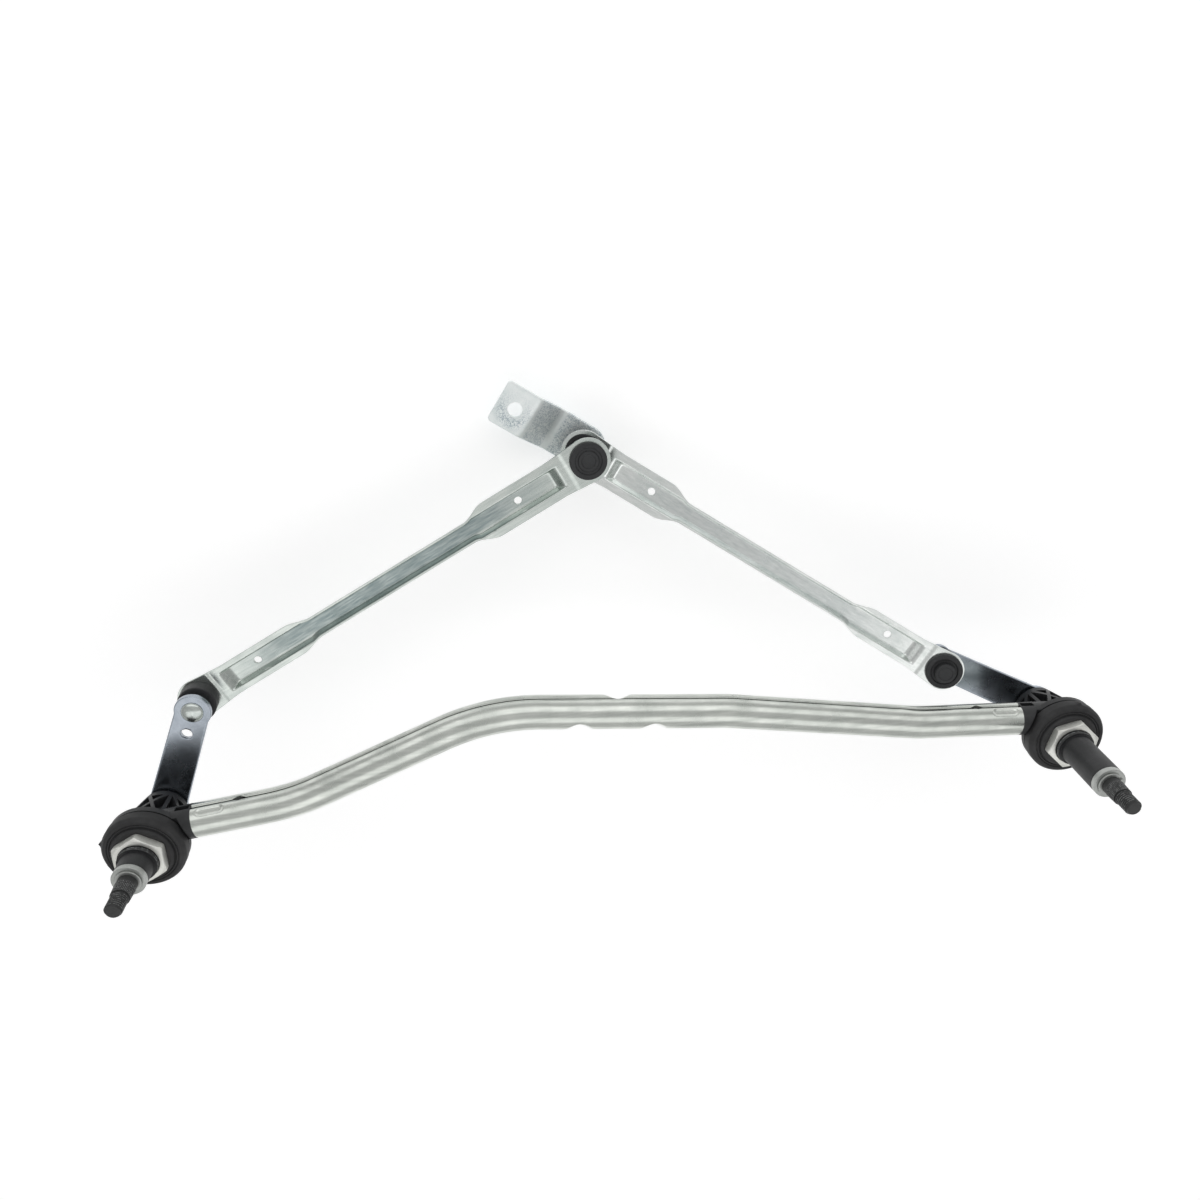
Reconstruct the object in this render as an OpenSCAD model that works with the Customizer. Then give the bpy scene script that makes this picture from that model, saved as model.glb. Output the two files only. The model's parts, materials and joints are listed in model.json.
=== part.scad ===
// Windscreen wiper linkage: a bent tube frame with two wiper pivots, two drive links and a motor crank.
// Origin: left pivot axis, in the plane where the nut clamps the panel on the grommet.
// +X points to the right pivot, +Y to the crank and +Z along the wiper shafts to their tips.

/* [Pivots] */
// Distance between the two pivot axes
pivot_spacing = 600; // [560:1:640]
// How far the right panel seat lies below the left one
right_drop = 20; // [10:0.5:30]
// Height of the left nose above its panel seat
left_nose_h = 20; // [18:0.5:40]
// Height of the right nose above its panel seat
right_nose_h = 45; // [30:0.5:60]
// Diameter of the plain part of each nose
nose_d = 20.5; // [20:0.1:22]
// Outer diameter of the nose thread under the nut
nose_thread_d = 24; // [23:0.1:25]
// Height of the nose thread above the panel seat
nose_thread_h = 9; // [7:0.5:12]

/* [Nuts and grommets] */
// Width of each panel nut across its flats
nut_af = 30; // [28:0.5:34]
// Thickness of each panel nut
nut_t = 6; // [4:0.5:6.5]
// Width of the chamfer on the nut's corners
nut_chamfer = 1; // [0.5:0.1:1.5]
// Outer diameter of each rubber grommet
grommet_d = 54; // [48:0.5:56]
// Thickness of each grommet from the flange to the panel seat
grommet_t = 12; // [10:0.5:14]
// Diameter of the raised seat that the nut presses on
grommet_seat_d = 38; // [36:0.5:40]
// Depth of the ring groove around the raised seat
grommet_groove = 4; // [2:0.5:6]
// Width of the outer rim of the grommet
grommet_rim_w = 4.5; // [3:0.5:5.5]
// Drop of the outer rim below the panel seat
grommet_rim_drop = 2; // [1:0.5:3]

/* [Housings] */
// Diameter of the flange under each grommet
flange_d = 50; // [46:0.5:54]
// Thickness of that flange
flange_t = 4; // [3:0.5:6]
// Depth of the bearing barrel below the panel seat
barrel_depth = 48; // [44:0.5:56]
// Diameter of the bearing barrel
barrel_d = 22; // [20:0.5:24]
// Diameter of the rib lattice under the flange
lattice_top_d = 42; // [36:0.5:46]
// Diameter of the rib lattice at the foot of the barrel
lattice_foot_d = 29; // [27:0.5:34]
// Thickness of the foot ring
foot_t = 4; // [3:0.5:6]
// Number of upright ribs around the barrel
rib_count = 6; // [5:1:8]
// Thickness of the lattice ribs
rib_t = 2.2; // [1.6:0.1:3]
// Depth of the tube's axis below the panel seat
tube_drop = 18; // [17:0.5:22]
// Length of the spigot inside the tube
spigot_len = 32; // [24:1:40]
// Wall of the hollow spigot
spigot_wall = 3; // [2:0.1:4]
// Length of the slot pocket in the side of the arm
arm_slot_len = 9; // [6:0.5:10]
// Height of that slot pocket
arm_slot_h = 4; // [3:0.5:6]
// Depth of that slot pocket
arm_slot_depth = 3; // [2:0.5:4]

/* [Frame tube] */
// Outer diameter of the tube
tube_d = 22; // [20:0.5:24]
// Wall of the tube
tube_wall = 1.5; // [1:0.1:2]
// Centre-line radius of the bends
bend_r = 130; // [90:5:160]
// Left end of the tube, from the left pivot
left_end = [30, 9]; // [0:0.5:40]
// First bend corner, from the left pivot
corner_1 = [93, 15]; // [0:0.5:120]
// Second bend corner, from the left pivot
corner_2 = [220, 62.5]; // [0:0.5:260]
// Third bend corner, from the left pivot
corner_3 = [372, 43.5]; // [0:0.5:420]
// Fourth bend corner, from the right pivot
corner_4 = [-99.5, 17.5]; // [-120:0.5:40]
// Right end of the tube, from the right pivot
right_end = [-30, 11]; // [-40:0.5:40]
// Width of the open seam along the tube
seam_w = 0.6; // [0.3:0.1:1]
// Size of the notch in the seam near each end
seam_notch = 3; // [2:0.5:5]
// Distance of the seam notch from each end
seam_notch_in = 30; // [26:1:36]
// Distance of the motor bracket seat from the second corner
motor_seat_along = 81; // [70:1:95]
// Distance from the middle dent to each of the two outer dents
dent_spacing = 24; // [20:1:30]
// Depth of the three dents of the motor bracket seat
dent_depth = 3; // [2:0.5:4]
// Length of each dent along the tube
dent_len = 20; // [14:1:22]
// Depth of the crimp that locks each tube end on its spigot
crimp_depth = 1.4; // [0.8:0.1:2]
// Length of the crimp along the tube
crimp_len = 16; // [12:1:18]
// Distance of the crimp from the tube's end
crimp_in = 12; // [10:0.5:15]
// Angle of the crimp above the seam side
crimp_angle = 35; // [20:1:50]

/* [Wiper shafts] */
// Diameter of each wiper shaft in its bushes
shaft_d = 12; // [11:0.1:13]
// Length of the plain shaft above the clip
shaft_neck_len = 5; // [3:0.5:8]
// Length of the knurled cone that takes the wiper arm
cone_len = 9; // [7:0.5:12]
// Diameter of the cone at its small end
cone_small_d = 10.6; // [10.2:0.1:11]
// Diameter of the threaded tip
tip_d = 10; // [8:0.1:10]
// Length of the threaded tip
tip_len = 12; // [9:0.5:15]
// Chamfer at the end of the tip
tip_chamfer = 1; // [0.5:0.1:1.5]
// Diameter of the reduced end that is riveted in the lever
rivet_end_d = 10; // [8:0.1:10.5]
// Diameter of the rivet head under the lever
rivet_head_d = 15; // [13:0.5:18]
// Thickness of the rivet head under the lever
rivet_head_t = 2; // [1.5:0.1:3]

/* [Bearings and washers] */
// Outer diameter of the bearing bushes
bush_od = 16; // [15:0.1:16.5]
// Length of each bearing bush
bush_len = 14; // [8:0.5:14]
// Height of the rubber shaft seal on the upper bush
seal_h = 3; // [2:0.5:4]
// Thickness of the thrust washer on the nose
thrust_t = 2; // [1:0.1:3]
// Diameter of the thrust washer
thrust_d = 20; // [18:0.1:20]
// Thickness of the spring clip in the shaft groove
clip_t = 1.6; // [1.2:0.1:2]
// Outer diameter of the spring clip
clip_d = 17; // [16:0.5:19]
// Depth of the clip groove in the shaft
clip_groove = 0.8; // [0.5:0.1:1.2]
// Opening of the spring clip
clip_gap = 5; // [3:0.5:8]
// Thickness of the washer between barrel and lever
lever_washer_t = 1.5; // [1:0.1:2.5]
// Diameter of that washer
lever_washer_d = 22; // [20:0.5:26]

/* [Levers] */
// Length of the left lever from shaft to ball
left_lever_len = 76.5; // [72:0.5:82]
// Angle of the left lever from +X
left_lever_angle = 65; // [58:0.5:70]
// Length of the right lever from shaft to ball
right_lever_len = 86; // [80:0.5:90]
// Angle of the right lever from +X
right_lever_angle = 150; // [146:0.5:154]
// Thickness of each lever
lever_t = 3.5; // [3:0.1:5]
// Diameter of each lever's round end at the shaft
lever_root_d = 27; // [26:0.5:30]
// Diameter of each lever's round end at the ball
lever_end_d = 23; // [22.5:0.5:25]
// Width of the lever's strip at the shaft
lever_root_w = 24; // [22:0.5:25]
// Width of the lever's strip at the ball
lever_end_w = 21; // [18:0.5:22]
// Diameter of the gauge hole in each lever
gauge_hole_d = 7.5; // [5:0.5:8]
// Distance of the gauge hole from the ball
gauge_hole_in = 17; // [15:0.5:20]

/* [Ball joints] */
// Diameter of the balls
ball_d = 13; // [12:0.1:13.5]
// Diameter of the neck below each ball
ball_neck_d = 6.5; // [6:0.1:7]
// Distance from a ball's centre to the plate that carries it
ball_stand = 9.5; // [9:0.1:11]
// Diameter of the rivet head of each ball pin
pin_head_d = 14; // [12:0.5:16]
// Height of the domed rivet head
pin_head_h = 3; // [2:0.1:4]
// Diameter of the ball pin in its plate
pin_root_d = 8; // [7:0.1:9]
// Diameter of the shoulder on the ball side of the plate
pin_shoulder_d = 12; // [10:0.5:13]
// Thickness of that shoulder
pin_shoulder_t = 1.4; // [1:0.1:2]
// Distance between the two balls of the crank pin
ball_pitch = 18; // [18:0.5:20]
// Outer diameter of the plastic sockets
socket_d = 24.4; // [23.5:0.1:25]
// Diameter of the socket neck in the link's hole
socket_neck_d = 21; // [20:0.1:21.5]
// Distance from the ball's centre to the link's plate
socket_rise = 5; // [4.6:0.1:5.4]
// Depth of the socket past the ball's centre
socket_lip = 4.5; // [4:0.1:5]
// Thickness of the socket cap on the link's plate
cap_t = 2.6; // [2.2:0.1:3]
// Radial width of the ring groove in the flat cap
cap_groove_w = 2; // [1:0.1:2.5]
// Depth of that ring groove
cap_groove_depth = 0.8; // [0.4:0.1:1]
// Diameter of the boss on the cap at the right lever
boss_d = 13.5; // [12:0.1:14]
// Height of that boss
boss_h = 4; // [2:0.5:5]
// Radial play of the open socket around the lower crank ball
open_play = 3.5; // [3:0.1:3.5]

/* [Drive links] */
// Length of the left link in plan, from ball to ball
left_link_len = 293; // [286:0.5:300]
// Length of the right link in plan, from ball to ball
right_link_len = 276; // [270:0.5:284]
// Height of the upper crank ball below the left panel seat
crank_ball_drop = 106; // [100:0.5:112]
// Sheet thickness of the links
link_t = 1.6; // [1.2:0.1:2]
// Diameter of the ring around each socket
link_ring_d = 30; // [29:0.5:32]
// Width of the flat end stretches of the links
link_wide_w = 26; // [24:0.5:28]
// Width of the channel in the middle
link_narrow_w = 15; // [14.5:0.1:17]
// Length of the wide stretch of the left link, from the ball
left_wide_len = 72; // [60:1:80]
// Length of the wide stretch of the right link, from the ball
right_wide_len = 61; // [56:1:70]
// Length of the S-curve from wide to narrow
link_blend_len = 18; // [12:1:24]
// Inner width of the pressed trough
trough_w = 10.8; // [10:0.1:11]
// Depth of the pressed trough
trough_depth = 6; // [4:0.5:7]
// Distance from the ball to the trough's end
trough_in = 20; // [18:0.5:24]
// Diameter of the drain holes in the trough
drain_d = 5; // [3:0.5:6]
// Distance of each drain hole from its ball
drain_in = 52; // [48:1:54]

/* [Motor crank] */
// Throw of the crank, from ball pin to motor hole
crank_throw = 53; // [50:0.5:58]
// Angle of the crank arm from +X
crank_angle = 144.5; // [135:0.5:155]
// Width of the crank arm
crank_w = 30; // [28:0.5:32]
// Thickness of the crank arm
crank_t = 4; // [3.5:0.1:5]
// Rise of the motor end above the ball end
crank_rise = 8; // [5:0.5:8.5]
// Distance from the motor hole to the upper bend
crank_bend_in = 11; // [9:0.5:13]
// Length of the slanted stretch between the bends
crank_slant = 18; // [14:0.5:20]
// Diameter of the motor shaft hole
motor_hole_d = 10; // [8:0.1:12]
// Length of the crank past the motor hole
crank_tail = 12.5; // [11:0.5:16]
// Corner chamfer of the crank's motor end
crank_chamfer = 3; // [1:0.5:5]

/* [Fits] */
// Radial clearance of a shaft in its bush
running_gap = 0.05; // [0.02:0.01:0.1]
// Radial clearance of pressed pieces
press_gap = 0.02; // [0.01:0.01:0.05]
// Radial clearance of a ball in its socket
ball_gap = 0.3; // [0.2:0.05:0.35]
// Axial clearance between turning faces
face_gap = 0.1; // [0.05:0.05:0.3]

/* [Hidden] */
$fn = 64;
// Overshoot of cuts past the faces they open
cut = 1;
// Sides of the tube's loft, and the largest turn between its stations
tube_sides = 20;
bend_step = 4;

zinc = [0.77, 0.79, 0.78];
dark_zinc = [0.42, 0.45, 0.47];
galvanised = [0.70, 0.72, 0.70];
plastic_black = [0.09, 0.09, 0.09];
rubber_black = [0.06, 0.06, 0.06];
bronze = [0.58, 0.45, 0.28];
shaft_black = [0.14, 0.14, 0.14];

left_seat = [0, 0, 0];
right_seat = [pivot_spacing, 0, -right_drop];

// Tube route, in a plane through both pivots that falls towards the right seat
tube_tilt = atan2(right_drop, pivot_spacing);
tube_span = norm([pivot_spacing, right_drop]);
route = [
    left_end,
    corner_1,
    corner_2,
    corner_3,
    [tube_span, 0] + corner_4,
    [tube_span, 0] + right_end
];
last = len(route) - 1;
tube_r = tube_d / 2;
tube_bore_r = tube_r - tube_wall;

// Levels below each panel seat
flange_z = -grommet_t - flange_t;
lever_top_z = -barrel_depth - face_gap - lever_washer_t;
lever_low_z = lever_top_z - lever_t;

// Levels above each nose
thrust_top = thrust_t;
clip_z = thrust_top + face_gap;
clip_top = clip_z + clip_t;

// Ball centres in plan and height
left_ball = left_seat + polar(left_lever_len, left_lever_angle, lever_low_z - ball_stand);
right_ball = right_seat + polar(right_lever_len, right_lever_angle, lever_top_z + ball_stand);
balls_apart = norm([right_ball.x - left_ball.x, right_ball.y - left_ball.y]);
balls_heading = atan2(right_ball.y - left_ball.y, right_ball.x - left_ball.x);
left_inner_angle = acos(
    (left_link_len * left_link_len + balls_apart * balls_apart - right_link_len * right_link_len)
    / (2 * left_link_len * balls_apart)
);
left_link_heading = balls_heading + left_inner_angle;
upper_ball = [left_ball.x, left_ball.y, 0] + polar(left_link_len, left_link_heading, -crank_ball_drop);
lower_ball = upper_ball - [0, 0, ball_pitch];
right_link_heading = atan2(lower_ball.y - right_ball.y, lower_ball.x - right_ball.x);
crank_top_z = lower_ball.z - ball_stand;

// Slope and plate length of each link: the left one changes from below its ball to above it
left_fall = upper_ball.z - left_ball.z;
right_fall = lower_ball.z - right_ball.z;
left_step = 2 * socket_rise + link_t;
left_run = sqrt(left_link_len * left_link_len + left_fall * left_fall - left_step * left_step);
left_slope = atan2(left_fall, left_link_len) + atan2(left_step, left_run);
right_run = norm([right_link_len, right_fall]);
right_slope = atan2(right_fall, right_link_len);

ball_r = ball_d / 2;
socket_r = socket_d / 2;
socket_cavity_r = ball_r + ball_gap;
neck_r = socket_neck_d / 2;
cap_low = socket_rise + link_t;
cap_high = cap_low + cap_t;

// A point at a radius and an angle in plan, at a height
function polar(radius, angle, height) = [radius * cos(angle), radius * sin(angle), height];
// Heading of the line from one plan point to another
function heading(a, b) = atan2(b.y - a.y, b.x - a.x);
// Turn at a route's corner, from -180 to 180
function turn(i) = let (
    raw = heading(route[i], route[i + 1]) - heading(route[i - 1], route[i])
) raw > 180 ? raw - 360 : raw < -180 ? raw + 360 : raw;
// Length that a bend takes from each leg beside its corner
function trim(i) = i == 0 || i == last ? 0 : bend_r * tan(abs(turn(i)) / 2);

// Moves to the tube's plane below the left seat
module in_tube_plane() {
    translate([0, 0, -tube_drop]) rotate([0, tube_tilt, 0]) children();
}

// Length of a leg from corner to corner
function leg_len(i) = norm(route[i + 1] - route[i]);
// Left-hand direction of a heading
function leftward(angle) = [-sin(angle), cos(angle)];
// Smooth press from 0 at the rim of a dent (-1 and 1) to 1 in its middle
function dish(u) = (1 + cos(180 * u)) / 2;

// Station of the loft: point, heading, press on the left, press on the right, crimp, half seam width
function station(i, along, left = 0, right = 0, crimp = 0, seam = seam_w / 2) = let (
    aim = heading(route[i], route[i + 1])
) [route[i] + along * [cos(aim), sin(aim)], aim, left, right, crimp, seam];
function bend_station(i, u) = let (
    aim = heading(route[i - 1], route[i]),
    side = sign(turn(i)),
    start = station(i - 1, leg_len(i - 1) - trim(i))[0],
    centre = start + side * bend_r * leftward(aim),
    there = aim + u * turn(i)
) [centre - side * bend_r * leftward(there), there, 0, 0, 0, seam_w / 2];
function bend_stations(i) = let (
    steps = ceil(abs(turn(i)) / bend_step)
) [for (k = [0 : steps]) bend_station(i, k / steps)];
function crimp_stations(i, along) =
    [for (u = [-1 : 0.5 : 1]) station(i, along + u * crimp_len / 2, crimp = crimp_depth * dish(u))];
function notch_stations(i, along) =
    [for (u = [-1 : 1]) station(i, along + u * seam_notch, seam = u == 0 ? seam_notch / 2 : seam_w / 2)];
function dent_stations(k) = [for (u = [-1 : 0.4 : 1]) let (press = dent_depth * dish(u))
    station(2, motor_seat_along + k * dent_spacing + u * dent_len / 2,
        left = k == 0 ? press : 0, right = k == 0 ? 0 : press)];

// Point of a cross-section after the dents and the crimp have pushed it in, at a wall depth
function pressed(p, at, depth) = let (
    reach = tube_r - depth,
    y = max(min(p.x, reach - at[2]), at[3] - reach),
    over = max(0, y * cos(crimp_angle) + p.y * sin(crimp_angle) - reach + at[4])
) [y - over * cos(crimp_angle), p.y - over * sin(crimp_angle)];
// Open ring of a station: outer wall round from the seam, then the bore back
function ring_points(at) = let (
    half = asin(at[5] / tube_r),
    angles = [for (j = [0 : tube_sides]) half + (360 - 2 * half) * j / tube_sides],
    bore_corner_r = tube_bore_r / cos(180 / tube_sides),
    outer = [for (f = angles) pressed(tube_r * [cos(f), sin(f)], at, 0)],
    bore = [for (j = [tube_sides : -1 : 0])
        pressed(bore_corner_r * [cos(angles[j]), sin(angles[j])], at, tube_wall)],
    left = leftward(at[1])
) [for (p = concat(outer, bore)) [at[0].x + p.x * left.x, at[0].y + p.x * left.y, p.y]];

module frame_tube() {
    end_len = leg_len(last - 1);
    stations = concat(
        [station(0, 0)],
        crimp_stations(0, crimp_in),
        notch_stations(0, seam_notch_in),
        bend_stations(1),
        bend_stations(2),
        dent_stations(-1),
        dent_stations(0),
        dent_stations(1),
        bend_stations(3),
        bend_stations(4),
        notch_stations(last - 1, end_len - seam_notch_in),
        crimp_stations(last - 1, end_len - crimp_in),
        [station(last - 1, end_len)]
    );
    round = 2 * tube_sides + 2;
    final = len(stations) - 1;
    walls = [for (k = [0 : final - 1], j = [0 : round - 1], half = [0, 1]) let (
        a = k * round + j,
        b = k * round + (j + 1) % round
    ) half == 0 ? [a, a + round, b] : [b, a + round, b + round]];
    caps = [
        [for (j = [0 : round - 1]) j],
        [for (j = [round - 1 : -1 : 0]) final * round + j]
    ];
    color(galvanised) in_tube_plane()
        polyhedron([for (at = stations) each ring_points(at)], concat(walls, caps), convexity = 10);
}

// Crossing ribs between the flange and the foot ring of a barrel
module rib_lattice() {
    height = barrel_depth + flange_z;
    middle = (flange_z - barrel_depth) / 2;
    reach = lattice_top_d / 2;
    lean = atan2(PI * lattice_foot_d / rib_count, height);
    intersection() {
        translate([0, 0, -barrel_depth]) cylinder(h = height, d1 = lattice_foot_d, d2 = lattice_top_d);
        union() {
            for (k = [0 : rib_count - 1]) {
                rotate(k * 360 / rib_count) translate([0, -rib_t / 2, -barrel_depth])
                    cube([reach, rib_t, height]);
                for (side = [-1, 1])
                    rotate((k + 0.5) * 360 / rib_count) translate([0, 0, middle]) rotate([side * lean, 0, 0])
                    translate([0, -rib_t / 2, -height]) cube([reach, rib_t, 2 * height]);
            }
        }
    }
}

// Moves to a tube end seen from its pivot: +X runs into the tube, +Y is the seam side
module at_tube_end(end, aim, flip) {
    translate([0, 0, -tube_drop]) rotate([0, tube_tilt, 0])
        translate(end) rotate(aim) mirror([0, flip, 0]) children();
}

// The arm from a barrel to the tube end, with the spigot inside the tube
module tube_arm(end, aim, flip) {
    spigot_r = tube_bore_r - press_gap;
    difference() {
        at_tube_end(end, aim, flip) {
            rotate([0, -90, 0]) cylinder(r = tube_r, h = norm(end));
            rotate([0, 90, 0]) cylinder(r = spigot_r, h = spigot_len);
        }
        translate([0, 0, -grommet_t]) cylinder(d = grommet_d + 2 * face_gap, h = barrel_depth);
        at_tube_end(end, aim, flip) {
            rotate([0, 90, 0]) cylinder(r = spigot_r - spigot_wall, h = spigot_len + cut);
            translate([crimp_in, 0, 0]) rotate([crimp_angle, 0, 0])
                translate([-crimp_len / 2, tube_bore_r - crimp_depth - press_gap, -tube_r])
                cube([crimp_len, tube_r, tube_d]);
            translate([-arm_slot_len - cut, tube_r - arm_slot_depth, -arm_slot_h / 2])
                cube([arm_slot_len, arm_slot_depth + cut, arm_slot_h]);
        }
    }
}

// One pivot housing: nose, thread, flange, ribbed barrel and tube arm, bored for the bushes
module pivot_housing(nose_h, end, aim, flip) {
    color(plastic_black) difference() {
        union() {
            translate([0, 0, -barrel_depth]) cylinder(d = barrel_d, h = barrel_depth);
            translate([0, 0, flange_z]) cylinder(d = nose_thread_d, h = nose_thread_h - flange_z);
            cylinder(d = nose_d, h = nose_h);
            translate([0, 0, flange_z]) cylinder(d = flange_d, h = flange_t);
            translate([0, 0, -barrel_depth]) cylinder(d = lattice_foot_d, h = foot_t);
            rib_lattice();
            tube_arm(end, aim, flip);
        }
        translate([0, 0, -barrel_depth - cut]) cylinder(d = bush_od, h = barrel_depth + nose_h + 2 * cut);
    }
}

module left_housing() {
    translate(left_seat) pivot_housing(left_nose_h, left_end, heading(left_end, corner_1), 0);
}

module right_housing() {
    translate(right_seat) pivot_housing(right_nose_h, right_end, heading(right_end, corner_4), 1);
}

// Rubber grommet between flange and panel, with a raised seat, a ring groove and an outer rim
module grommet() {
    inner = nose_thread_d / 2 + press_gap;
    outer = grommet_d / 2;
    seat = grommet_seat_d / 2;
    rim = outer - grommet_rim_w;
    color(rubber_black) rotate_extrude() polygon([
        [inner, -grommet_t],
        [outer - grommet_rim_drop, -grommet_t],
        [outer, -grommet_t + grommet_rim_drop],
        [outer, -2 * grommet_rim_drop],
        [outer - grommet_rim_drop / 2, -grommet_rim_drop],
        [rim, -grommet_rim_drop],
        [rim, -grommet_rim_drop - grommet_groove],
        [seat, -grommet_rim_drop - grommet_groove],
        [seat, -grommet_rim_drop / 2],
        [seat - grommet_rim_drop / 2, 0],
        [inner, 0]
    ]);
}

module left_grommet() {
    translate(left_seat) grommet();
}

module right_grommet() {
    translate(right_seat) grommet();
}

// Thin hexagon nut with chamfered corners
module panel_nut() {
    corner_r = nut_af / 2 / cos(30);
    color(zinc) difference() {
        intersection() {
            cylinder(r = corner_r, h = nut_t, $fn = 6);
            union() {
                cylinder(r = corner_r, h = nut_t - nut_chamfer);
                translate([0, 0, nut_t - nut_chamfer])
                    cylinder(r1 = corner_r, r2 = corner_r - 2 * nut_chamfer, h = nut_chamfer);
            }
        }
        translate([0, 0, -cut]) cylinder(d = nose_thread_d + 2 * press_gap, h = nut_t + 2 * cut);
    }
}

module left_nut() {
    translate(left_seat) panel_nut();
}

module right_nut() {
    translate(right_seat) panel_nut();
}

// A plain ring
module ring(outer_d, inner_d, height) {
    difference() {
        cylinder(d = outer_d, h = height);
        translate([0, 0, -cut]) cylinder(d = inner_d, h = height + 2 * cut);
    }
}

module bush(top) {
    color(bronze) translate([0, 0, top - bush_len])
        ring(bush_od - 2 * press_gap, shaft_d + 2 * running_gap, bush_len);
}

module left_upper_bush() {
    translate(left_seat) bush(left_nose_h - seal_h);
}

module left_lower_bush() {
    translate(left_seat) bush(bush_len - barrel_depth);
}

module right_upper_bush() {
    translate(right_seat) bush(right_nose_h - seal_h);
}

module right_lower_bush() {
    translate(right_seat) bush(bush_len - barrel_depth);
}

module shaft_seal(nose_h) {
    color(rubber_black) translate([0, 0, nose_h - seal_h])
        ring(bush_od - 2 * press_gap, shaft_d + 2 * running_gap, seal_h);
}

module left_seal() {
    translate(left_seat) shaft_seal(left_nose_h);
}

module right_seal() {
    translate(right_seat) shaft_seal(right_nose_h);
}

module thrust_washer(nose_h) {
    color(zinc) translate([0, 0, nose_h]) ring(thrust_d, shaft_d + 4 * running_gap, thrust_t);
}

module left_thrust_washer() {
    translate(left_seat) thrust_washer(left_nose_h);
}

module right_thrust_washer() {
    translate(right_seat) thrust_washer(right_nose_h);
}

// Wiper shaft: riveted end, plain shaft with clip groove, cone for the arm and threaded tip
module wiper_shaft(nose_h) {
    shaft_r = shaft_d / 2;
    groove_r = shaft_r - clip_groove;
    tip_r = tip_d / 2;
    cone_z = nose_h + clip_top + shaft_neck_len;
    tip_z = cone_z + cone_len;
    top_z = tip_z + tip_len;
    color(shaft_black) rotate_extrude() polygon([
        [0, lever_low_z - rivet_head_t],
        [rivet_head_d / 2 - rivet_head_t / 2, lever_low_z - rivet_head_t],
        [rivet_head_d / 2, lever_low_z - rivet_head_t / 2],
        [rivet_head_d / 2, lever_low_z],
        [rivet_end_d / 2, lever_low_z],
        [rivet_end_d / 2, lever_top_z],
        [shaft_r, lever_top_z],
        [shaft_r, nose_h + clip_z],
        [groove_r, nose_h + clip_z],
        [groove_r, nose_h + clip_top],
        [shaft_r, nose_h + clip_top],
        [shaft_r, cone_z],
        [cone_small_d / 2, tip_z],
        [tip_r, tip_z],
        [tip_r, top_z - tip_chamfer],
        [tip_r - tip_chamfer, top_z],
        [0, top_z]
    ]);
}

module left_shaft() {
    translate(left_seat) wiper_shaft(left_nose_h);
}

module right_shaft() {
    translate(right_seat) wiper_shaft(right_nose_h);
}

// Open spring clip in the shaft groove
module spring_clip(nose_h, aim) {
    color(zinc) translate([0, 0, nose_h + clip_z]) rotate(aim) difference() {
        ring(clip_d, shaft_d - 2 * clip_groove + 2 * press_gap, clip_t);
        translate([0, -clip_gap / 2, -cut]) cube([clip_d, clip_gap, clip_t + 2 * cut]);
    }
}

module left_clip() {
    translate(left_seat) spring_clip(left_nose_h, left_lever_angle);
}

module right_clip() {
    translate(right_seat) spring_clip(right_nose_h, right_lever_angle);
}

module lever_washer() {
    color(zinc) translate([0, 0, lever_top_z]) ring(lever_washer_d, shaft_d + 2 * press_gap, lever_washer_t);
}

module left_lever_washer() {
    translate(left_seat) lever_washer();
}

module right_lever_washer() {
    translate(right_seat) lever_washer();
}

// Flat lever from the shaft's rivet to the ball pin: a tapered strip between two round ends
module lever(length) {
    color(dark_zinc) translate([0, 0, lever_low_z]) difference() {
        union() {
            cylinder(d = lever_root_d, h = lever_t);
            translate([length, 0, 0]) cylinder(d = lever_end_d, h = lever_t);
            linear_extrude(lever_t) polygon([
                [0, lever_root_w / 2],
                [length, lever_end_w / 2],
                [length, -lever_end_w / 2],
                [0, -lever_root_w / 2]
            ]);
        }
        lever_hole(0, rivet_end_d + 2 * press_gap);
        lever_hole(length, pin_root_d + 2 * press_gap);
        lever_hole(length - gauge_hole_in, gauge_hole_d);
    }
}

module lever_hole(along, hole_d) {
    translate([along, 0, -cut]) cylinder(d = hole_d, h = lever_t + 2 * cut);
}

module left_lever() {
    translate(left_seat) rotate(left_lever_angle) lever(left_lever_len);
}

module right_lever() {
    translate(right_seat) rotate(right_lever_angle) lever(right_lever_len);
}

// Rivet end of a ball pin through a plate whose ball-side face is at z = 0, with the ball above
module pin_root(plate_t) {
    dome_r = (pin_head_d * pin_head_d / 4 + pin_head_h * pin_head_h) / (2 * pin_head_h);
    cylinder(d = pin_shoulder_d, h = pin_shoulder_t);
    translate([0, 0, -plate_t]) cylinder(d = pin_root_d, h = plate_t);
    intersection() {
        translate([0, 0, dome_r - pin_head_h - plate_t]) sphere(r = dome_r);
        translate([0, 0, -plate_t - pin_head_h]) cylinder(d = pin_head_d, h = pin_head_h);
    }
}

// Ball pin with one ball
module ball_pin() {
    color(zinc) {
        pin_root(lever_t);
        cylinder(d = ball_neck_d, h = ball_stand);
        translate([0, 0, ball_stand]) sphere(d = ball_d);
    }
}

module left_ball_pin() {
    translate([left_ball.x, left_ball.y, lever_low_z]) rotate([180, 0, 0]) ball_pin();
}

module right_ball_pin() {
    translate([right_ball.x, right_ball.y, right_seat.z + lever_top_z]) ball_pin();
}

// Half width of a link at a place along its blend, from wide (0) to narrow (1)
function blend_half(u) = link_narrow_w / 2 + (link_wide_w - link_narrow_w) / 4 * (1 + cos(180 * u));

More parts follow.
